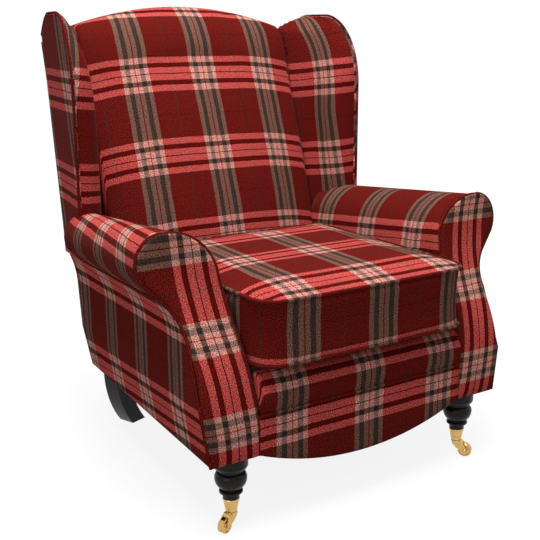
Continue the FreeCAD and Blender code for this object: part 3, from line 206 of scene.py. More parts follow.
def through(a, b, c, count=10):
    """Points on the circle through three points."""
    ax, ay, bx, by, cx, cy = *a, *b, *c
    d = 2 * (ax * (by - cy) + bx * (cy - ay) + cx * (ay - by))
    ux = ((ax * ax + ay * ay) * (by - cy) + (bx * bx + by * by) * (cy - ay)
          + (cx * cx + cy * cy) * (ay - by)) / d
    uy = ((ax * ax + ay * ay) * (cx - bx) + (bx * bx + by * by) * (ax - cx)
          + (cx * cx + cy * cy) * (bx - ax)) / d
    radius = math.dist((ux, uy), a)
    start = math.degrees(math.atan2(ay - uy, ax - ux))
    mid = math.degrees(math.atan2(by - uy, bx - ux))
    end = math.degrees(math.atan2(cy - uy, cx - ux))
    turn = (end - start) % 360
    if (mid - start) % 360 > turn:
        turn -= 360
    return arc_points((ux, uy), radius, start, start + turn, count)


def arm_lines(y):
    """The arm's section: inner line up to the crest, outer panel and bead of the roll."""
    drop = roll_share(y) * ROLL_DROP
    tuck = roll_share(y) * ROLL_TUCK
    radius = 58 - 0.15 * drop
    cx, cz = 409.4 - tuck, 555.8 - 0.85 * drop
    shoulder = 535 - 0.7 * drop
    outer = 393.5 - panel_tuck(y)
    foot = 378 - panel_tuck(y)
    seam = seam_z(y)
    seam_x = 423 - tuck - 10 * between((y - ARM_REAR_Y) / 90, 0, 1)
    start, crest = (296, shoulder), (cx, cz + radius)
    swell = (blend(start[0], cx, 0.39), blend(shoulder, crest[1], 0.775))
    roll = through(start, swell, crest, 14)
    inner = [(268, FOOT_Z), (268, 241), (276.5, 340), (285, 439), start] + roll[1:]
    hollow = (blend(outer, seam_x, 0.33), seam - 33)
    throat = through((outer, seam - 86), hollow, (seam_x, seam), 8)
    bead = arc_points((cx, cz), radius, -43, 90, 22)
    panel = [(foot, FOOT_Z), (outer, 267)] + throat
    return inner, panel, bead


print("scoop radius %.1f mm, arch rise %.1f mm" % (SCOOP_RADIUS, TOP - arch_z(BACK_HALF)))

# %% [markdown]
# ## Cutting cloth
# A cover starts as a flat grid, as the cloth does, and is then moved into its place. The grid
# keeps its flat measure as coordinates, so stripes stay straight on the cloth and bend only
# where the cloth bends. A closed form is the same grid with its two long edges sewn together.

# %% Helpers that cut and sew
MM = 0.001
made = []


def cut_cloth(columns, rows, place, flat=None, sewn=False):
    """A grid moved to place(u, v), with flat(u, v) as its cloth coordinates in metres."""
    bm = bmesh.new()
    bmesh.ops.create_grid(bm, x_segments=columns, y_segments=rows, size=0.5)
    layer = bm.loops.layers.uv.new("cloth")
    for face in bm.faces if flat else ():
        for loop in face.loops:
            loop[layer].uv = flat(loop.vert.co.x + 0.5, loop.vert.co.y + 0.5)
    for vert in bm.verts:
        vert.co = Vector(place(vert.co.x + 0.5, vert.co.y + 0.5)) * MM
    if sewn:
        bmesh.ops.remove_doubles(bm, verts=bm.verts, dist=0.00005)
        bmesh.ops.holes_fill(bm, edges=bm.edges, sides=0)
    bmesh.ops.recalc_face_normals(bm, faces=bm.faces)
    return bm


def outward(bm, towards):
    """Turn an open cloth's faces to the side that a direction points to."""
    total = Vector((0, 0, 0))
    for face in bm.faces:
        total += face.normal * face.calc_area()
    if total.dot(Vector(towards)) < 0:
        bmesh.ops.reverse_faces(bm, faces=bm.faces)


def keep(bm, name, material, body="chair", stands_for=()):
    """Make the piece, finish it and fix it to its body."""
    mesh = bpy.data.meshes.new(name)
    bm.to_mesh(mesh)
    bm.free()
    mesh.shade_smooth()
    mesh.materials.append(material)
    obj = bpy.data.objects.new(name, mesh)
    bpy.context.scene.collection.objects.link(obj)
    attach(obj, body)
    if stands_for:
        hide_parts(*stands_for)
    made.append(obj)
    return obj


def thicken(obj, thickness):
    """A board or pad behind the cloth."""
    modifier = obj.modifiers.new("thickness", "SOLIDIFY")
    modifier.thickness = thickness * MM
    modifier.offset = -1


def soften(obj):
    """One smooth subdivision over the finished cover."""
    modifier = obj.modifiers.new("soft", "SUBSURF")
    modifier.levels = 1
    modifier.render_levels = 1


FILLING_PRESSURE = 4.0
FILLING_FRAMES = 20
UNEVEN = 1.5


def inflate(obj, sewn_down, cap):
    """Blow a closed cover up between its seams, as the filling does, by cap mm at most."""
    mesh = obj.data
    rest = [vert.co.copy() for vert in mesh.vertices]
    for vert in mesh.vertices:
        if not sewn_down(*(vert.co / MM)):
            vert.co -= vert.normal * (1 + noise.noise(vert.co * 14)) * UNEVEN * MM
    seams = obj.vertex_groups.new(name="seams")
    held = [v.index for v in mesh.vertices if sewn_down(*(rest[v.index] / MM))]
    seams.add(held, 1.0, "REPLACE")
    cloth = obj.modifiers.new("filling", "CLOTH")
    cloth.settings.quality = 6
    cloth.settings.use_pressure = True
    cloth.settings.uniform_pressure_force = FILLING_PRESSURE
    cloth.settings.effector_weights.gravity = 0
    cloth.settings.vertex_group_mass = "seams"
    cloth.collision_settings.use_collision = False
    cloth.point_cache.frame_start = 1
    cloth.point_cache.frame_end = FILLING_FRAMES
    for step in range(1, FILLING_FRAMES + 1):
        bpy.context.scene.frame_set(step)
    blown = obj.evaluated_get(bpy.context.evaluated_depsgraph_get()).data
    ends = [vert.co.copy() for vert in blown.vertices]
    obj.modifiers.remove(cloth)
    obj.vertex_groups.remove(seams)
    furthest = 0.0
    for vert, old, new in zip(mesh.vertices, rest, ends):
        move = new - old
        furthest = max(furthest, move.length / MM)
        if move.length > cap * MM:
            move *= cap * MM / move.length
        vert.co = old + move
    bpy.context.scene.frame_set(1)
    print(obj.name, "swelled up to %.1f mm, capped at %.0f" % (furthest, cap))
    soften(obj)


print("filling pressure", FILLING_PRESSURE, "over", FILLING_FRAMES, "frames")

# %% [markdown]
# ## Woven wool
# A tartan is not a print. Coloured yarns run both ways, and at each crossing the eye mixes the
# two, so a cream stripe over a pink one is pale and over dark red is dull. The material reads a
# warp ramp and a weft ramp. It lays a small share of them side by side in a fine twill, lets each
# tint the other for the rest, and makes every yarn a little uneven with noise.

# %% Tartan cloth
def linear(r, g, b):
    def one(c):
        return c / 12.92 if c <= 0.04045 else ((c + 0.055) / 1.055) ** 2.4
    return (one(r), one(g), one(b), 1.0)


WARP_REPEAT = 0.187
WEFT_REPEAT = 0.216
WARP_LINE = 3.0
WEFT_LINE = 3.2
TWILL_PITCH = 0.0032
YARN_SCALE = 420.0
TINTED_SHARE = 0.7
RED = (0.235, 0.0074, 0.0066, 1)
CREAM = (0.385, 0.250, 0.190, 1)
COAL = (0.050, 0.060, 0.049, 1)
SLATE = (0.110, 0.0250, 0.0220, 1)
WINE = (0.037, 0.0082, 0.0054, 1)
PINK = (0.610, 0.190, 0.165, 1)
MAROON = (0.017, 0.0030, 0.0022, 1)
INK = (0.016, 0.0060, 0.0050, 1)
# Bands are (width in mm, colour), laid side by side about the middle of a group
WARP = [(12, CREAM), (12, COAL), (11.5, CREAM), (2.5, RED), (11.5, CREAM), (12, COAL),
        (11.5, CREAM)]
WEFT = [(15.8, PINK), (13, MAROON), (15.8, PINK), (2.8, MAROON), (15.8, PINK), (13, MAROON),
        (15.8, PINK)]


def band_ramp(nodes, bands, ground, line, line_width, repeat):
    """A stepped ramp over one repeat, with the group in the middle and a line at its ends."""
    ramp = nodes.new("ShaderNodeValToRGB")
    ramp.color_ramp.interpolation = "CONSTANT"
    total = sum(width for width, colour in bands) * MM
    stops = [(0.0, line), (line_width * MM / 2 / repeat, ground)]
    here = 0.5 - total / 2 / repeat
    for width, colour in bands:
        stops.append((here, colour))
        here += width * MM / repeat
    stops.append((here, ground))
    stops.append((1 - line_width * MM / 2 / repeat, line))
    elements = ramp.color_ramp.elements
    elements[0].position, elements[0].color = stops[0]
    elements[1].position, elements[1].color = stops[-1]
    for position, colour in stops[1:-1]:
        elements.new(position).color = colour
    return ramp


def math_node(nodes, links, kind, a, b=None, c=None):
    node = nodes.new("ShaderNodeMath")
    node.operation = kind
    for socket, value in zip(node.inputs, (a, b, c)):
        if value is None:
            continue
        if isinstance(value, (int, float)):
            socket.default_value = value
        else:
            links.new(value, socket)
    return node.outputs[0]


def mix_node(nodes, links, blend_type, factor, a, b):
    node = nodes.new("ShaderNodeMix")
    node.data_type = "RGBA"
    node.blend_type = blend_type
    if isinstance(factor, (int, float)):
        node.inputs["Factor"].default_value = factor
    else:
        links.new(factor, node.inputs["Factor"])
    links.new(a, node.inputs["A"])
    links.new(b, node.inputs["B"])
    return node.outputs["Result"]


def noise_node(nodes, links, vector, scale, detail):
    node = nodes.new("ShaderNodeTexNoise")
    node.inputs["Scale"].default_value = scale
    node.inputs["Detail"].default_value = detail
    links.new(vector, node.inputs["Vector"])
    return node


def roughen(nodes, links, shader, height, strength, distance):
    """Tilt the surface by a height, given in shares of the distance."""
    bump = nodes.new("ShaderNodeBump")
    bump.inputs["Strength"].default_value = strength
    bump.inputs["Distance"].default_value = distance
    links.new(height, bump.inputs["Height"])
    links.new(bump.outputs["Normal"], shader.inputs["Normal"])


def new_material(name):
    material = bpy.data.materials.new(name)
    material.use_nodes = True
    nodes = material.node_tree.nodes
    shader = nodes["Principled BSDF"]
    return material, nodes, material.node_tree.links, shader


def stripe_colours(nodes, links, cloth):
    """Colours of the warp and of the weft at a spot, with slightly wavy stripes."""
    wobble = noise_node(nodes, links, cloth, 14.0, 1.0)
    drift = nodes.new("ShaderNodeVectorMath")
    drift.operation = "MULTIPLY_ADD"
    drift.inputs[1].default_value = (0.004, 0.004, 0.0)
    links.new(wobble.outputs["Color"], drift.inputs[0])
    links.new(cloth, drift.inputs[2])
    parts = nodes.new("ShaderNodeSeparateXYZ")
    links.new(drift.outputs[0], parts.inputs[0])
    colours = []
    for axis, bands, ground, line, line_width, repeat in (
            ("X", WARP, RED, SLATE, WARP_LINE, WARP_REPEAT),
            ("Y", WEFT, WINE, INK, WEFT_LINE, WEFT_REPEAT)):
        turns = math_node(nodes, links, "DIVIDE", parts.outputs[axis], repeat)
        # Half a turn brings the group to 0, and a hundred keep the sum positive
        shifted = math_node(nodes, links, "ADD", turns, 100.5)
        share = math_node(nodes, links, "FRACT", shifted)
        ramp = band_ramp(nodes, bands, ground, line, line_width, repeat)
        links.new(share, ramp.inputs[0])
        colours.append(ramp.outputs["Color"])
    return colours


def tartan(name, tone_level=1.0):
    material, nodes, links, shader = new_material(name)
    uv = nodes.new("ShaderNodeUVMap")
    uv.uv_map = "cloth"
    cloth = uv.outputs[0]
    warp, weft = stripe_colours(nodes, links, cloth)
    # Twill: the weft floats over two yarns and steps one yarn along in the next row
    pair = nodes.new("ShaderNodeSeparateXYZ")
    links.new(cloth, pair.inputs[0])
    slope = math_node(nodes, links, "ADD", pair.outputs["X"], pair.outputs["Y"])
    angle = math_node(nodes, links, "MULTIPLY", slope, 2 * math.pi / TWILL_PITCH)
    wave = math_node(nodes, links, "SINE", angle)
    fuzz = noise_node(nodes, links, cloth, YARN_SCALE, 3.0).outputs["Fac"]
    loose = math_node(nodes, links, "SUBTRACT", fuzz, 0.5)
    mixing = math_node(nodes, links, "MULTIPLY_ADD", wave, 0.16, 0.5)
    mixing = math_node(nodes, links, "MULTIPLY_ADD", loose, 0.7, mixing)
    beside = mix_node(nodes, links, "MIX", mixing, warp, weft)
    # The square root of the product lets each yarn tint the other
    tinted = nodes.new("ShaderNodeGamma")
    tinted.inputs["Gamma"].default_value = 0.5
    links.new(mix_node(nodes, links, "MULTIPLY", 1.0, warp, weft), tinted.inputs["Color"])
    weave = mix_node(nodes, links, "MIX", TINTED_SHARE, beside, tinted.outputs[0])
    melange = noise_node(nodes, links, cloth, YARN_SCALE, 2.0).outputs["Fac"]
    speckle = math_node(nodes, links, "MULTIPLY_ADD", melange, 6.0, -1.95)
    darkest = math_node(nodes, links, "MAXIMUM", speckle, 0.25)
    shade = math_node(nodes, links, "MULTIPLY", darkest, tone_level)
    tone = mix_node(nodes, links, "MULTIPLY", 1.0, weave, shade)
    links.new(tone, shader.inputs["Base Color"])
    shader.inputs["Roughness"].default_value = 0.92
    shader.inputs["Specular IOR Level"].default_value = 0.0
    shader.inputs["Sheen Weight"].default_value = 0.05
    shader.inputs["Sheen Roughness"].default_value = 0.4
    shader.inputs["Sheen Tint"].default_value = linear(0.95, 0.75, 0.72)
    height = math_node(nodes, links, "MULTIPLY_ADD", wave, 0.35, fuzz)
    roughen(nodes, links, shader, height, 0.35, 0.0006)
    return material


CLOTH = tartan("red_tartan_wool")
BIAS = tartan("bias_cut_tartan", tone_level=0.72)
print("cloth repeats", WARP_REPEAT, "by", WEFT_REPEAT, "m")

# %% [markdown]
# ## Wood, metal and lining
# The legs are beech under black lacquer, which shows a soft highlight and a little grain. The
# castors are polished brass with faint turning marks. Under the covers lie pale timber, woven
# straps and black lining cloth.

# %% Plain materials
def grained(name, colour, other, roughness, stretch, bump_strength, metallic=0.0, coat=0.0,
            scale=60.0, specular=0.5):
    material, nodes, links, shader = new_material(name)
    shader.inputs["Specular IOR Level"].default_value = specular
    coord = nodes.new("ShaderNodeTexCoord")
    mapping = nodes.new("ShaderNodeMapping")
    mapping.inputs["Scale"].default_value = stretch
    links.new(coord.outputs["Object"], mapping.inputs["Vector"])
    grain = noise_node(nodes, links, mapping.outputs[0], scale, 4.0).outputs["Fac"]
    ramp = nodes.new("ShaderNodeValToRGB")
    ramp.color_ramp.elements[0].position = 0.3
    ramp.color_ramp.elements[1].position = 0.7
    ramp.color_ramp.elements[0].color = colour
    ramp.color_ramp.elements[1].color = other
    links.new(grain, ramp.inputs[0])
    links.new(ramp.outputs["Color"], shader.inputs["Base Color"])
    rough = math_node(nodes, links, "MULTIPLY_ADD", grain, 0.16, roughness - 0.08)
    links.new(rough, shader.inputs["Roughness"])
    shader.inputs["Metallic"].default_value = metallic
    shader.inputs["Coat Weight"].default_value = coat
    shader.inputs["Coat Roughness"].default_value = 0.12
    roughen(nodes, links, shader, grain, bump_strength, 0.0004)
    return material


BEECH = grained("frame_beech", linear(0.78, 0.62, 0.42), linear(0.62, 0.45, 0.28), 0.6,
                (12, 12, 1), 0.3)
PLY = grained("wing_board_ply", linear(0.76, 0.62, 0.44), linear(0.58, 0.42, 0.27), 0.65,
              (3, 3, 20), 0.3)
LACQUER = grained("black_lacquer", (0.004, 0.0032, 0.003, 1), (0.011, 0.008, 0.007, 1), 0.3,
                  (6, 6, 1), 0.08, coat=0.06, specular=0.12)
BRASS = grained("polished_brass", linear(0.85, 0.71, 0.46), linear(0.74, 0.59, 0.35), 0.14,
                (1, 1, 9), 0.05, metallic=1.0, scale=45.0)
STEEL = grained("bolt_steel", linear(0.55, 0.55, 0.56), linear(0.42, 0.42, 0.44), 0.35,
                (1, 1, 6), 0.1, metallic=1.0)
STRAP = grained("webbing_straps", linear(0.30, 0.24, 0.17), linear(0.15, 0.12, 0.10), 0.85,
                (30, 30, 30), 0.6, scale=25.0)
LINING = grained("black_lining", linear(0.05, 0.05, 0.055), linear(0.10, 0.10, 0.105), 0.9,
                 (20, 20, 20), 0.5, scale=40.0)

FINISH = {"webbing": STRAP, "leg_bolts": STEEL, "_leg": LACQUER, "castor": BRASS,
          "wing_frame": PLY, "dust_cover": LINING}
for name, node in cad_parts.items():
    chosen = BEECH
    for word, material in FINISH.items():
        if word in name:
            chosen = material
    node.data.materials.clear()
    node.data.materials.append(chosen)
print("finished", len(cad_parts), "frame pieces")

# %% [markdown]
# ## Inside back
# The inside back is one cloth over a sprung and padded panel. It swells at the lumbar, leans
# back to the shoulders and rolls over the arched top rail. Its flat height is measured along
# the middle of the chair, so that the pink bands stay level across it.

# %% Inside back
def back_profile(x):
    """Side view of the inside back at x, from its foot over the roll and down behind."""
    top = arch_z(x)
    middle_z = (BACK_SEAT_Z + top - 130) / 2
    foot = (129 + 14.4 * back_reach(x), BACK_FOOT_Z)
    seat = (back_front_y(BACK_SEAT_Z, x), BACK_SEAT_Z)
    lumbar = (back_front_y(middle_z, x) - 7, middle_z)
    shoulder = (back_front_y(top - 130, x), top - 130)
    crest_y = back_y(top - 16) - 10.3
    brow = (crest_y - 62, top - 5)
    face = through(seat, lumbar, shoulder, 14)
    roll = through(shoulder, (shoulder[0] + 18.3, top - 60), brow, 8)
    over = through(brow, (crest_y - 31, top), (crest_y, top - 16), 6)
    return [foot] + face + roll[1:] + over[1:]


# From the foot to the seat line, which the cushion hides
BACK_LIFT = lengths(back_profile(0.0))[1]
BACK_PAD = 58
BACK_PINK = 441


def inside_back():
    half = 302.0
    curves = {}

    def where(u, v):
        x = blend(-half, half, u)
        if x not in curves:
            front = back_profile(x)
            top_y, top_z = front[-1]
            rear = [(back_y(z) - BACK_PAD, z) for z in (700, BACK_BEND_Z, BACK_FOOT_Z)]
            rear = [front[-1], (top_y - 8, top_z - 14)] + rear + [front[0]]
            curves[x] = (Curve(front), Curve(rear))
        (y, z), run = around(*curves[x], 0.7, v)
        return x, y, z, run

    def place(u, v):
        return where(u, v)[:3]

    def flat(u, v):
        x, y, z, run = where(u, v)
        high = run - BACK_LIFT - BACK_PINK
        if high > 0:
            high *= 1.07
        elif high < -106:
            high += 0.03 * (high + 106)
        return (x - 16) * MM, (high + 24 * (abs(x) / half) ** 3) * MM

    bm = cut_cloth(48, 80, place, flat, sewn=True)
    obj = keep(bm, "inside_back_cover", CLOTH, stands_for=("inside_back",))
    inflate(obj, lambda x, y, z: abs(x) > 296 or y > back_y(z) - BACK_PAD - 1 or z < 300,
            cap=7)
    return obj


back_cover = inside_back()
print("inside back", len(back_cover.data.vertices), "points")

# %% [markdown]
# ## Scroll arms
# Each arm has three cuts: an inside arm that runs up and over the roll, a panel outside under
# the scroll, and a stuffed facing on the scooped front. The inside cut wraps from the seat to
# the seam, so the brown bands ring the roll like hoops on a barrel.

# %% Inside arm and roll
# Depth of the brown group's middle, its squeeze, lift of the pink group and its rise to the rear
ARM_GRAIN = {"left": (-75, 1.29, 60, 0.24), "right": (-40, 1.06, 28, 0.11)}
ARM_FOOT_Z = 272
HIDDEN_RUN = 700.0
FACING_DEEP = 14.5


def arm_cover(name, side):
    middle, squeeze, lift, rise = ARM_GRAIN[name]

    def ring(y):
        inner, panel, bead = arm_lines(y)
        tuck = roll_share(y) * ROLL_TUCK
        up = [(blend(268, 276.5, (ARM_FOOT_Z - 241) / 99), ARM_FOOT_Z)]
        up += [p for p in inner if p[1] >= ARM_FOOT_Z]
        down = list(reversed(bead)) + [(423 - tuck, seam_z(y))]
        hidden = [(380 - tuck, seam_z(y)), (345, 476), (305, 460), (300, ARM_FOOT_Z)]
        return Curve(up + down[1:]), Curve([down[-1]] + hidden + [up[0]])

    front_ring = ring(ARM_FRONT_Y)
    rings = {}

    def rear_y(x, z):
        if x < 303:
            return back_front_y(max(z, 420), BACK_HALF) + 14
        turn = between((x - wing_x(ARM_REAR_Y)) / 34, 0, 1)
        return ARM_REAR_Y - 34 * (1 - math.sqrt(max(0.0, 1 - turn ** 2)))

    def where(u, v):
        share, part = (v / 0.8, 0) if v <= 0.8 else ((v - 0.8) / 0.2, 1)
        x0, z0 = front_ring[part].at(share)
        y = blend(scoop_y(z0) + FACING_DEEP, rear_y(x0, z0), u)
        key = round(y, 2)
        if key not in rings:
            rings[key] = ring(y)
        x, z = rings[key][part].at(share)
        return x, y, z, rings[key][0].length * share if part == 0 else HIDDEN_RUN

    def place(u, v):
        x, y, z, run = where(u, v)
        return side * x, y, z

    def flat(u, v):
        x, y, z, run = where(u, v)
        high = run - 235 + lift + (y + 1) * rise
        lean = 1.1 * between(252 - high, 0, 75) if side < 0 else 0.0
        return ((y - middle) * squeeze - lean) * MM, high * MM

    bm = cut_cloth(40, 70, place, flat, sewn=True)
    obj = keep(bm, name + "_arm_cover", CLOTH, stands_for=(name + "_arm_pad",))
    return obj


def panel_cover(name, side):
    """Cloth over the outside of the arm."""
    lines = {}

    def line(y):
        key = round(y, 2)
        if key not in lines:
            lines[key] = Curve(arm_lines(y)[1])
        return lines[key]

    def where(u, v):
        z0 = line(-300).at(v)[1]
        y = blend(scoop_y(z0) + FACING_DEEP, back_y(z0) - 0.5, u)
        x, z = line(y).at(v)
        return x, y, z - 0.4

    def place(u, v):
        x, y, z = where(u, v)
        return side * x, y, z

    def flat(u, v):
        x, y, z = where(u, v)
        fall = (0.027 + (400 - z) * 0.0003) * (y + 300)
        return (y + 117) * 1.03 * MM, (z - 448 + fall) * MM

    bm = cut_cloth(40, 30, place, flat)
    outward(bm, (side, 0, 0))
    obj = keep(bm, name + "_outside_arm_cover", CLOTH,
               stands_for=(name + "_outside_arm",))
    thicken(obj, 9)
    return obj


FACING_RUN = Curve([(scoop_y(z), z) for z in range(FOOT_Z, 616, 6)])
# Width and height that the brown group passes through, its slant, and the pink group's height
FACING_GRAIN = {"left": (347, 520, 0.085, 411), "right": (335, 294, 0.18, 415)}


def facing_height(z):
    """Length along the scooped front from its foot to a height."""
    high = 0.0
    for a, b in zip(FACING_RUN.points, FACING_RUN.points[1:]):
        if b[1] > z:
            return high + math.dist(a, b) * (z - a[1]) / (b[1] - a[1])
        high += math.dist(a, b)
    return high


def facing_edges():
    """Inner and outer edge of the facing in front view, from the foot to the crest."""
    inner = [(268, z) for z in (FOOT_Z, 203, 241)]
    inner += [(blend(268, 285, (z - 241) / 198), z) for z in range(270, 440, 20)]
    inner += [(285, 439), (291, 490)] + [p for p in arm_lines(ARM_FRONT_Y)[0] if p[1] >= 534]
    outer = arm_lines(FRONT_Y)[1][:2]
    outer += [p for p in arm_lines(-360)[1] if p[1] > 350]
    outer += arm_lines(-325)[2]
    return Curve(inner), Curve(outer)


def facing_cover(name, side):
    inner, outer = facing_edges()
    brown_x, level, slant, pink_z = FACING_GRAIN[name]

    def where(u, v):
        a = inner.at(v)
        b = outer.at(v)
        x, z = blend(a[0], b[0], u), blend(a[1], b[1], u)
        width = math.dist(a, b)
        rim = between(min(u, 1 - u) * width / 16, 0, 1)
        foot = between(v * outer.length / 14, 0, 1)
        puff = 6.0 * math.sqrt(1 - (1 - rim) ** 2) * (0.35 + 0.65 * foot)
        return x, scoop_y(z) + 4.5 - puff, z

    def place(u, v):
        x, y, z = where(u, v)
        return side * x, y, z

    def flat(u, v):
        x, y, z = where(u, v)
        lean = brown_x + (z - level) * slant
        return (facing_height(z) - facing_height(pink_z)) * MM, (x - lean) * MM

    bm = cut_cloth(26, 64, place, flat)
    bmesh.ops.remove_doubles(bm, verts=bm.verts, dist=0.0001)
    outward(bm, (0, -1, 0))
    obj = keep(bm, name + "_facing_cover", CLOTH, stands_for=(name + "_arm_facing",))
    thicken(obj, 8)
    return obj


arm_covers = {}
for name, side in SIDES:
    arm_covers[name] = arm_cover(name, side)
    panel_cover(name, side)
    facing_cover(name, side)
print("arms", len(arm_covers["left"].data.vertices), "points each")

# %% [markdown]
# ## Wings
# A wing is a plywood board between a plain outer cover and a padded inner one. The inner cover
# swells behind its front edge and dips into the corner beside the back, where it is pulled
# through and tacked.

# %% Wings
# Run and height that the brown group passes through, its slant below and above that height, and
# the pink group's height
WING_GRAIN = {"left": (-11, 925, 0.17, 0.17, 864), "right": (97, 780, 0.153, 0.04, 876)}


def wing_section(z):
    """Level section of the padded inside, from the front edge to the junction."""
    front = wing_edge_y(z) + 1
    swell = max(0.0, (z - 600) / (WING_TOP_Z - 600))
    outer = wing_x(front) - 4
    bulge = (331 + (outer - 331 - 12) * swell ** 4, front + 34 - 14 * swell ** 4)
    foot = 450.0
    share = (z - foot) / (WING_TOP_Z - foot)
    valley = arch_z(BACK_HALF) - 14
    lean = max(0.0, (z - valley) / (WING_TOP_Z - valley))
    join = (303 + 58 * lean ** 1.5, max(222 + share * 138, bulge[1] + 30))
    brow = ((outer + bulge[0]) / 2 - 2, front + 5)
    cheek = ((bulge[0] + join[0]) / 2 + 3, (bulge[1] + join[1]) / 2)
    face = through((outer, front), brow, bulge, 8)
    inside = through(bulge, cheek, join, 12)
    return face + inside[1:], (join[0], back_y(z) - 11)


def wing_crest(y):
    """Top of the wing's side view behind its front edge."""
    level_y, fall = 345, 55
    if y < WING_FRONT_Y + WING_TIP:
        share = (y - WING_FRONT_Y) / WING_TIP
        rise = math.sqrt(max(0.0, 1 - (1 - share) ** 2))
        return WING_BEND_Z + (WING_TOP_Z - WING_BEND_Z) * rise
    if y <= level_y:
        return WING_TOP_Z
    share = (y - level_y) / (back_y(WING_TOP_Z - fall) - level_y)
    return WING_TOP_Z - fall * between(share, 0, 1) ** 1.7


def wing_inside(name, side):
    levels = {}
    brown, level, below, above, pink_z = WING_GRAIN[name]

    def where(u, v):
        z = blend(472, WING_TOP_Z - 0.6, 1 - (1 - v) ** 1.15)
        key = round(z, 3)
        if key not in levels:
            points, rear = wing_section(z)
            levels[key] = (Curve(points), rear)
        curve, rear = levels[key]
        corner = (wing_x(rear[1]) - 11, rear[1])
        run = curve.length
        part = (u - 0.86) / 0.14
        if u <= 0.72:
            x, y = curve.at(u / 0.72)
            run = curve.length * u / 0.72
        elif u <= 0.86:
            x, y = part_way(curve.points[-1], rear, (u - 0.72) / 0.14)
        elif part < 0.4:
            x, y = part_way(rear, corner, part / 0.4)
        else:
            x, y = part_way(corner, curve.points[0], (part - 0.4) / 0.6)
        return x, y, min(z, wing_crest(y) - 1), run

    def place(u, v):
        x, y, z, run = where(u, v)
        return side * x, y, z

    def flat(u, v):
        x, y, z, run = where(u, v)
        band = brown + (z - level) * (below if z < level else above)
        return (run - band) * MM, (z - pink_z + 0.11 * (run - 20)) * MM

    bm = cut_cloth(50, 60, place, flat, sewn=True)
    obj = keep(bm, name + "_wing_inside_cover", CLOTH,
               stands_for=(name + "_wing_inside",))
    return obj


def wing_outside(name, side):
    def where(u, v):
        y = blend(WING_FRONT_Y, 410.0, u)
        # The rear end depends on the height and the height on the depth, so both are narrowed down
        for _ in range(4):
            z = blend(seam_z(y) + 0.5, wing_crest(y), v)
            y = blend(WING_FRONT_Y, back_y(z) - 10.5, u)
        return wing_x(y), y, z

    def place(u, v):
        x, y, z = where(u, v)
        return side * x, y, z

    def flat(u, v):
        x, y, z = where(u, v)
        return (y - 185 - 0.35 * (z - 885)) * 0.72 * MM, (z - 856) * MM

    bm = cut_cloth(40, 50, place, flat)
    outward(bm, (side, 0, 0))
    obj = keep(bm, name + "_wing_outside_cover", CLOTH,
               stands_for=(name + "_wing_outside",))
    thicken(obj, 9)
    return obj


for name, side in SIDES:
    wing_inside(name, side)
    wing_outside(name, side)
print("wings made")

# %% [markdown]
# ## Outside back, border and apron
# The outside back is a flat cloth tacked round the frame. In front, a padded lip covers the
# rail under the cushion, and a bowed apron hangs below the seam.

# %% Outside back and front border
# Cloth measure over true width on the front pieces, which are pulled tight sideways
TIGHT = 0.945
BORDER_HALF = 267.7
BORDER_Z = 249.8


def outside_back():
    def half_width(z):
        foot, hip, wide = 338.0, 355.5, 365.0
        if z < 267:
            return blend(foot, hip, (z - FOOT_Z) / 101)
        if z < 426:
            return hip
        return blend(hip, wide, between((z - 426) / 60, 0, 1))

    def where(u, v):
        x = blend(-1, 1, u)
        z = blend(FOOT_Z, arch_z(368 * x) - 12, v)
        return half_width(z) * x, back_y(z), z

    def flat(u, v):
        x, y, z = where(u, v)
        return (x - 24) * MM, (z - 890) * MM

    bm = cut_cloth(40, 60, where, flat)
    outward(bm, (0, 1, 0))
    obj = keep(bm, "outside_back_cover", CLOTH, stands_for=("outside_back",))
    thicken(obj, 9)
    return obj


def lip_roll():
    line = [(-426, 250.3)] + through((-426, 250.3), (-436, 287), (-419, 322), 12)[1:]
    line += through((-419, 322), (-411, 332), (-397, 336), 6)[1:] + [(-391, 336)]
    rear = [(-391, 336), (-391, 268.5), (-409, 268.5), (-409, 250.3), (-426, 250.3)]
    front, behind = Curve(line), Curve(rear)

    def where(u, v):
        (y, z), run = around(front, behind, 0.6, v)
        return blend(-267.6, 267.6, u), y, z, run

    def place(u, v):
        return where(u, v)[:3]

    def flat(u, v):
        x, y, z, run = where(u, v)
        return (x - 7) * TIGHT * MM, (run - 96) * MM

    bm = cut_cloth(60, 36, place, flat, sewn=True)
    obj = keep(bm, "front_lip_cover", CLOTH, stands_for=("front_lip_roll",))
    inflate(obj, lambda x, y, z: y > -393 or z < 253 or abs(x) > 266, cap=4)
    return obj


def apron():
    bow, lowest = 54, 112
    radius = (BORDER_HALF ** 2 + bow ** 2) / (2 * bow)

    def where(u, v):
        x = blend(-BORDER_HALF, BORDER_HALF, u)
        low = lowest + radius - math.sqrt(radius ** 2 - x ** 2)
        z = blend(low, BORDER_Z, v)
        tuck = 3.0 * between(1 - (BORDER_Z - z) / 10, 0, 1)
        tuck += 2.0 * between(1 - (z - low) / 10, 0, 1)
        return x, -427.4 + tuck, z

    def flat(u, v):
        x, y, z = where(u, v)
        return (x - 9) * TIGHT * MM, (z - 225) * MM

    bm = cut_cloth(60, 24, where, flat)
    outward(bm, (0, -1, 0))
    obj = keep(bm, "front_apron_cover", CLOTH, stands_for=("front_apron",))
    thicken(obj, 12)
    return obj


for make in (outside_back, lip_roll, apron):
    print("made", make().name)

# %% [markdown]
# ## Seat cushion
# The cushion is a loose box: a top and an under panel joined by a boxing strip, with piping in
# both seams. Filled with foam and feather, it crowns at the top and its strip bows outwards.

# %% Seat cushion
CUSHION_LOW = 353.0
CUSHION_HIGH = 484.0
CUSHION_MIDDLE_Y = -160.0
CUSHION_BROWN = 23


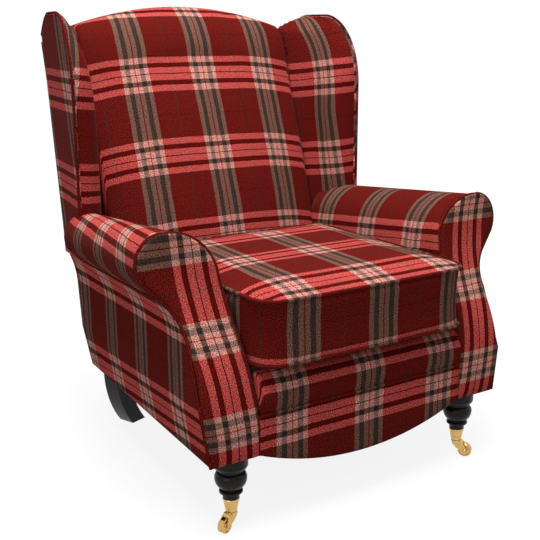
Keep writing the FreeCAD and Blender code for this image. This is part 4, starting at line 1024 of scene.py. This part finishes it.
def cushion_edge():
    """Plan of the cushion, from the middle of the front round to the same place."""
    half, front, rear = 267.0, -446.4, 126.0
    points = through((0, front - 3), (110, front - 2), (217, front), 8)
    points += arc_points((217, front + 50), 50, -90, 0, 12)[1:]
    points += through((half, front + 50), (half + 2, CUSHION_MIDDLE_Y), (half, rear - 26), 16)[1:]
    points += arc_points((half - 26, rear - 26), 26, 0, 90, 8)[1:]
    right = points + [(0, rear)]
    left = [(-x, y) for x, y in reversed(right[:-1])]
    return right, left


CUSHION_RIGHT, CUSHION_LEFT = cushion_edge()
EDGE = Curve(CUSHION_RIGHT + CUSHION_LEFT)
RIGHT_EDGE = Curve(CUSHION_RIGHT)


def edge_run(x, y, side_x):
    """Length along the boxing from the middle of the front, positive on the right."""
    here = Vector((abs(x), y))
    nearest, found = math.inf, 0.0
    for first, last, run in zip(CUSHION_RIGHT, CUSHION_RIGHT[1:], RIGHT_EDGE.run):
        a, along = Vector(first), Vector(last) - Vector(first)
        part = between((here - a).dot(along) / along.length_squared, 0, 1)
        gap = (a + along * part - here).length
        if gap < nearest:
            nearest, found = gap, run + along.length * part
    return found if side_x >= 0 else -found


def cushion():
    def where(u, v):
        ex, ey = EDGE.at(u)
        deep = ey - CUSHION_MIDDLE_Y
        r, bow = 1.0, 0.0
        if v < 0.3:
            r = math.sqrt(v / 0.3)
            z = blend(347.0, CUSHION_LOW, between((r - 0.94) / 0.06, 0, 1) ** 2)
        elif v <= 0.6:
            z = blend(CUSHION_LOW, CUSHION_HIGH, (v - 0.3) / 0.3)
            bow = -3.5 * math.sin(math.pi * (v - 0.3) / 0.3)
        else:
            r = math.sqrt(max(0.0, 1 - (v - 0.6) / 0.4))
            z = CUSHION_HIGH + 14.0 * math.sqrt(max(0.0, 1 - r ** 8))
        size = math.hypot(ex, deep)
        return ex * r + bow * ex / size, CUSHION_MIDDLE_Y + deep * r + bow * deep / size, z

    def top_flat(x, y):
        deep = (y + 400) * 1.03
        deep += 10 * between((deep - 190) / 80, 0, 1) - 14 * between((deep + 6) / 60, 0, 1)
        return (x - CUSHION_BROWN - 0.04 * (y + 446)) * 0.96 * MM, deep * MM

    bm = cut_cloth(144, 80, where, sewn=True)
    layer = bm.loops.layers.uv["cloth"]
    for face in bm.faces:
        spot = face.calc_center_median() / MM
        boxing = CUSHION_LOW - 1 < spot.z < CUSHION_HIGH + 1 and abs(face.normal.z) < 0.6
        for loop in face.loops:
            x, y, z = loop.vert.co / MM
            if not boxing:
                loop[layer].uv = top_flat(x, y)
                continue
            run = edge_run(x, y, spot.x)
            loop[layer].uv = ((run - CUSHION_BROWN) * TIGHT * MM, (z - 430 + 108) * MM)
    obj = keep(bm, "seat_cushion_cover", CLOTH, body="seat_cushion",
               stands_for=("seat_cushion",))

    def at_seam(x, y, z):
        return abs(z - CUSHION_LOW) < 2 or abs(z - CUSHION_HIGH) < 2 or z < CUSHION_LOW

    inflate(obj, at_seam, cap=5)
    return obj


cushion_cover = cushion()
print("cushion", len(cushion_cover.data.vertices), "points")

# %% [markdown]
# ## Platform and dust cover
# The lining under the cushion never shows in use. It is still one cloth over the sprung
# platform, and a second one closes the chair from below.

# %% Platform cloth
def platform():
    bm = bmesh.new()
    bmesh.ops.create_cube(bm, size=1.0)
    low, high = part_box("seat_platform")
    size = high - low
    for vert in bm.verts:
        vert.co = Vector([low[i] + (vert.co[i] + 0.5) * size[i] for i in range(3)])
    bmesh.ops.bevel(bm, geom=bm.edges[:], offset=0.008, segments=3, affect="EDGES", profile=0.5,
                    material=-1)
    obj = keep(bm, "seat_platform_cloth", LINING, stands_for=("seat_platform",))
    return obj


print("platform", len(platform().data.vertices), "points")

# %% [markdown]
# ## Piping
# Piping is a cord sewn into a strip of the same cloth. Some strips are cut from the red ground
# and some on the bias, where the stripes cross the cord as small flecks. On the cushion the
# strip follows the stripes of the boxing.

# %% Piping
PIPING_RADIUS = 3.6


def tube(name, points, radius, grain="plain", closed=False, body="chair"):
    """A covered cord along points in millimetres. A number as grain is where its stripes start."""
    spots = [Vector(p) for p in points]
    run = lengths([tuple(p) for p in spots])
    count = len(spots)
    total = run[-1]
    frames = []
    for i, spot in enumerate(spots):
        before = spots[i - 1] if i or closed else spots[0]
        after = spots[(i + 1) % count] if i < count - 1 or closed else spots[-1]
        if closed and i == 0:
            before = spots[-2]
        if closed and i == count - 1:
            after = spots[1]
        along = (after - before).normalized()
        if not frames:
            side = along.orthogonal().normalized()
        else:
            side = frames[-1][1] - along * frames[-1][1].dot(along)
            side.normalize()
        frames.append((along, side, along.cross(side)))

    def place(u, v):
        i = round(u * (count - 1))
        angle = 2 * math.pi * v
        offset = frames[i][1] * math.cos(angle) + frames[i][2] * math.sin(angle)
        return spots[i] + offset * radius

    def flat(u, v):
        s = run[round(u * (count - 1))]
        if closed and s > total / 2:
            s -= total
        a = 2 * math.pi * radius * v
        if grain == "bias":
            return (s * 0.8 + a * 0.6) * MM, (a * 0.8 - s * 0.6) * MM
        if grain == "plain":
            return (52 + 5 * math.sin(s / 9)) * MM, (a - 75) * MM
        return (s + grain) * TIGHT * MM, (a - 75) * MM

    bm = cut_cloth(count - 1, 8, place, flat, sewn=True)
    return keep(bm, name, BIAS if grain == "bias" else CLOTH, body=body)


def resample(points, step):
    curve = Curve(points)
    count = max(2, int(curve.length / step))
    return [curve.at(i / count) for i in range(count + 1)]


for name, side in SIDES:
    inner, outer = facing_edges()
    rim = inner.points + outer.points[::-1]
    rim = resample([(side * x, scoop_y(z) + 5.5, z) for x, z in rim], 6)
    tube(name + "_facing_piping", rim, PIPING_RADIUS)
    seam = [(side * (424 - roll_share(y) * ROLL_TUCK), y, seam_z(y)) for y in range(-322, 200, 8)]
    tube(name + "_scroll_piping", seam, 3.0)
    heights = list(range(500, WING_BEND_Z, 8)) + list(range(WING_BEND_Z, 1016, 5))
    edge = [(wing_x(wing_edge_y(z)), wing_edge_y(z) - 2.5, z) for z in heights]
    edge += [(wing_x(y), y, wing_crest(y) + 1.5) for y in range(236, 430, 6)
             if y > wing_edge_y(1015)]
    edge = resample([(side * (x - 2.5), y, z) for x, y, z in edge], 6)
    tube(name + "_wing_piping", edge, PIPING_RADIUS, grain="bias" if side > 0 else "plain")

arch = [(x, back_y(arch_z(x) - 12) - 5, arch_z(x) - 8) for x in range(-360, 361, 6)]
tube("arch_piping", arch, 4.0)
border = [(x, -427.5, 250) for x in range(-264, 265, 8)]
tube("border_piping", border, 3.5, grain=-273)
for name, z in (("upper", CUSHION_HIGH), ("lower", CUSHION_LOW)):
    loop_points = resample([(x, y, z) for x, y in EDGE.points], 7)
    tube("cushion_%s_piping" % name, loop_points, 4.2, grain=-CUSHION_BROWN, closed=True,
         body="seat_cushion")
print("pieces", len(made))

# %% [markdown]
# ## Studio
# A large soft light above does most of the work. A weaker one from the front left and a faint
# one from the right fill in, which gives the even look of a catalogue picture. The floor and the
# background are white where the camera sees them and darker where they light the cloth.

# %% Floor, light and camera
# The photograph's camera: picture width, focal length and centre of view in its pixels, place in
# metres, and how far it looks down and to the right in degrees
PHOTO_PIXELS = 540
FOCAL_PIXELS = 933.55
CENTRE_PIXELS = (289.18, 266.99)
CAMERA_PLACE = (-1.1677, -1.8851, 0.9884)
CAMERA_DOWN = 14.205
CAMERA_RIGHT = 33.614
SENSOR = 36
CHAIR_MIDDLE = (0, 0, 0.5)


def seen_directly(nodes, links):
    """1 for rays from the camera, or mirrored or let through on their way to it."""
    path = nodes.new("ShaderNodeLightPath")
    direct = math_node(nodes, links, "MAXIMUM", path.outputs["Is Camera Ray"],
                       path.outputs["Is Glossy Ray"])
    return math_node(nodes, links, "MAXIMUM", direct, path.outputs["Is Transmission Ray"])


def floor_material():
    material, nodes, links, shader = new_material("studio_floor")
    seen = seen_directly(nodes, links)
    grey = math_node(nodes, links, "MULTIPLY_ADD", seen, -0.30, 0.45)
    links.new(grey, shader.inputs["Base Color"])
    shader.inputs["Roughness"].default_value = 1.0
    shader.inputs["Specular IOR Level"].default_value = 0.0
    shader.inputs["Emission Color"].default_value = (1, 1, 1, 1)
    coord = nodes.new("ShaderNodeTexCoord")
    reach = nodes.new("ShaderNodeVectorMath")
    reach.operation = "LENGTH"
    links.new(coord.outputs["Object"], reach.inputs[0])
    paler = math_node(nodes, links, "MULTIPLY_ADD", reach.outputs["Value"], 0.05, 0.86)
    glow = math_node(nodes, links, "MULTIPLY", seen, math_node(nodes, links, "MINIMUM", paler, 1.0))
    links.new(glow, shader.inputs["Emission Strength"])
    return material


floor_mesh = bpy.data.meshes.new("studio_floor")
bm = bmesh.new()
bmesh.ops.create_grid(bm, x_segments=1, y_segments=1, size=12)
bm.to_mesh(floor_mesh)
bm.free()
floor_mesh.materials.append(floor_material())
floor = bpy.data.objects.new("studio_floor", floor_mesh)
bpy.context.scene.collection.objects.link(floor)

world = bpy.data.worlds.new("studio")
bpy.context.scene.world = world
world.use_nodes = True
wn, wl = world.node_tree.nodes, world.node_tree.links
background = wn["Background"]
background.inputs["Color"].default_value = (1, 1, 1, 1)
wl.new(math_node(wn, wl, "MULTIPLY_ADD", seen_directly(wn, wl), 0.78, 0.22),
       background.inputs["Strength"])


def area_light(name, place, size, power):
    data = bpy.data.lights.new(name, "AREA")
    data.shape = "DISK"
    data.size = size
    data.energy = power
    light = bpy.data.objects.new(name, data)
    light.location = place
    towards = Vector(CHAIR_MIDDLE) - Vector(place)
    light.rotation_euler = towards.to_track_quat("-Z", "Y").to_euler()
    bpy.context.scene.collection.objects.link(light)


area_light("key_light", (-2.9, -1.7, 1.8), 1.8, 22)
area_light("fill_light", (3.0, -1.8, 1.8), 2.0, 5)
area_light("top_light", (-0.35, -0.45, 3.3), 2.2, 135)

camera_data = bpy.data.cameras.new("camera")
camera_data.sensor_width = SENSOR
camera_data.lens = FOCAL_PIXELS * SENSOR / PHOTO_PIXELS
camera_data.shift_x = (PHOTO_PIXELS / 2 - CENTRE_PIXELS[0]) / PHOTO_PIXELS
camera_data.shift_y = (CENTRE_PIXELS[1] - PHOTO_PIXELS / 2) / PHOTO_PIXELS
camera = bpy.data.objects.new("camera", camera_data)
camera.location = CAMERA_PLACE
camera.rotation_euler = (math.radians(90 - CAMERA_DOWN), 0, math.radians(-CAMERA_RIGHT))
bpy.context.scene.collection.objects.link(camera)
bpy.context.scene.camera = camera
bpy.context.scene.view_settings.view_transform = "Standard"
print("studio with", len(bpy.data.lights), "lights")
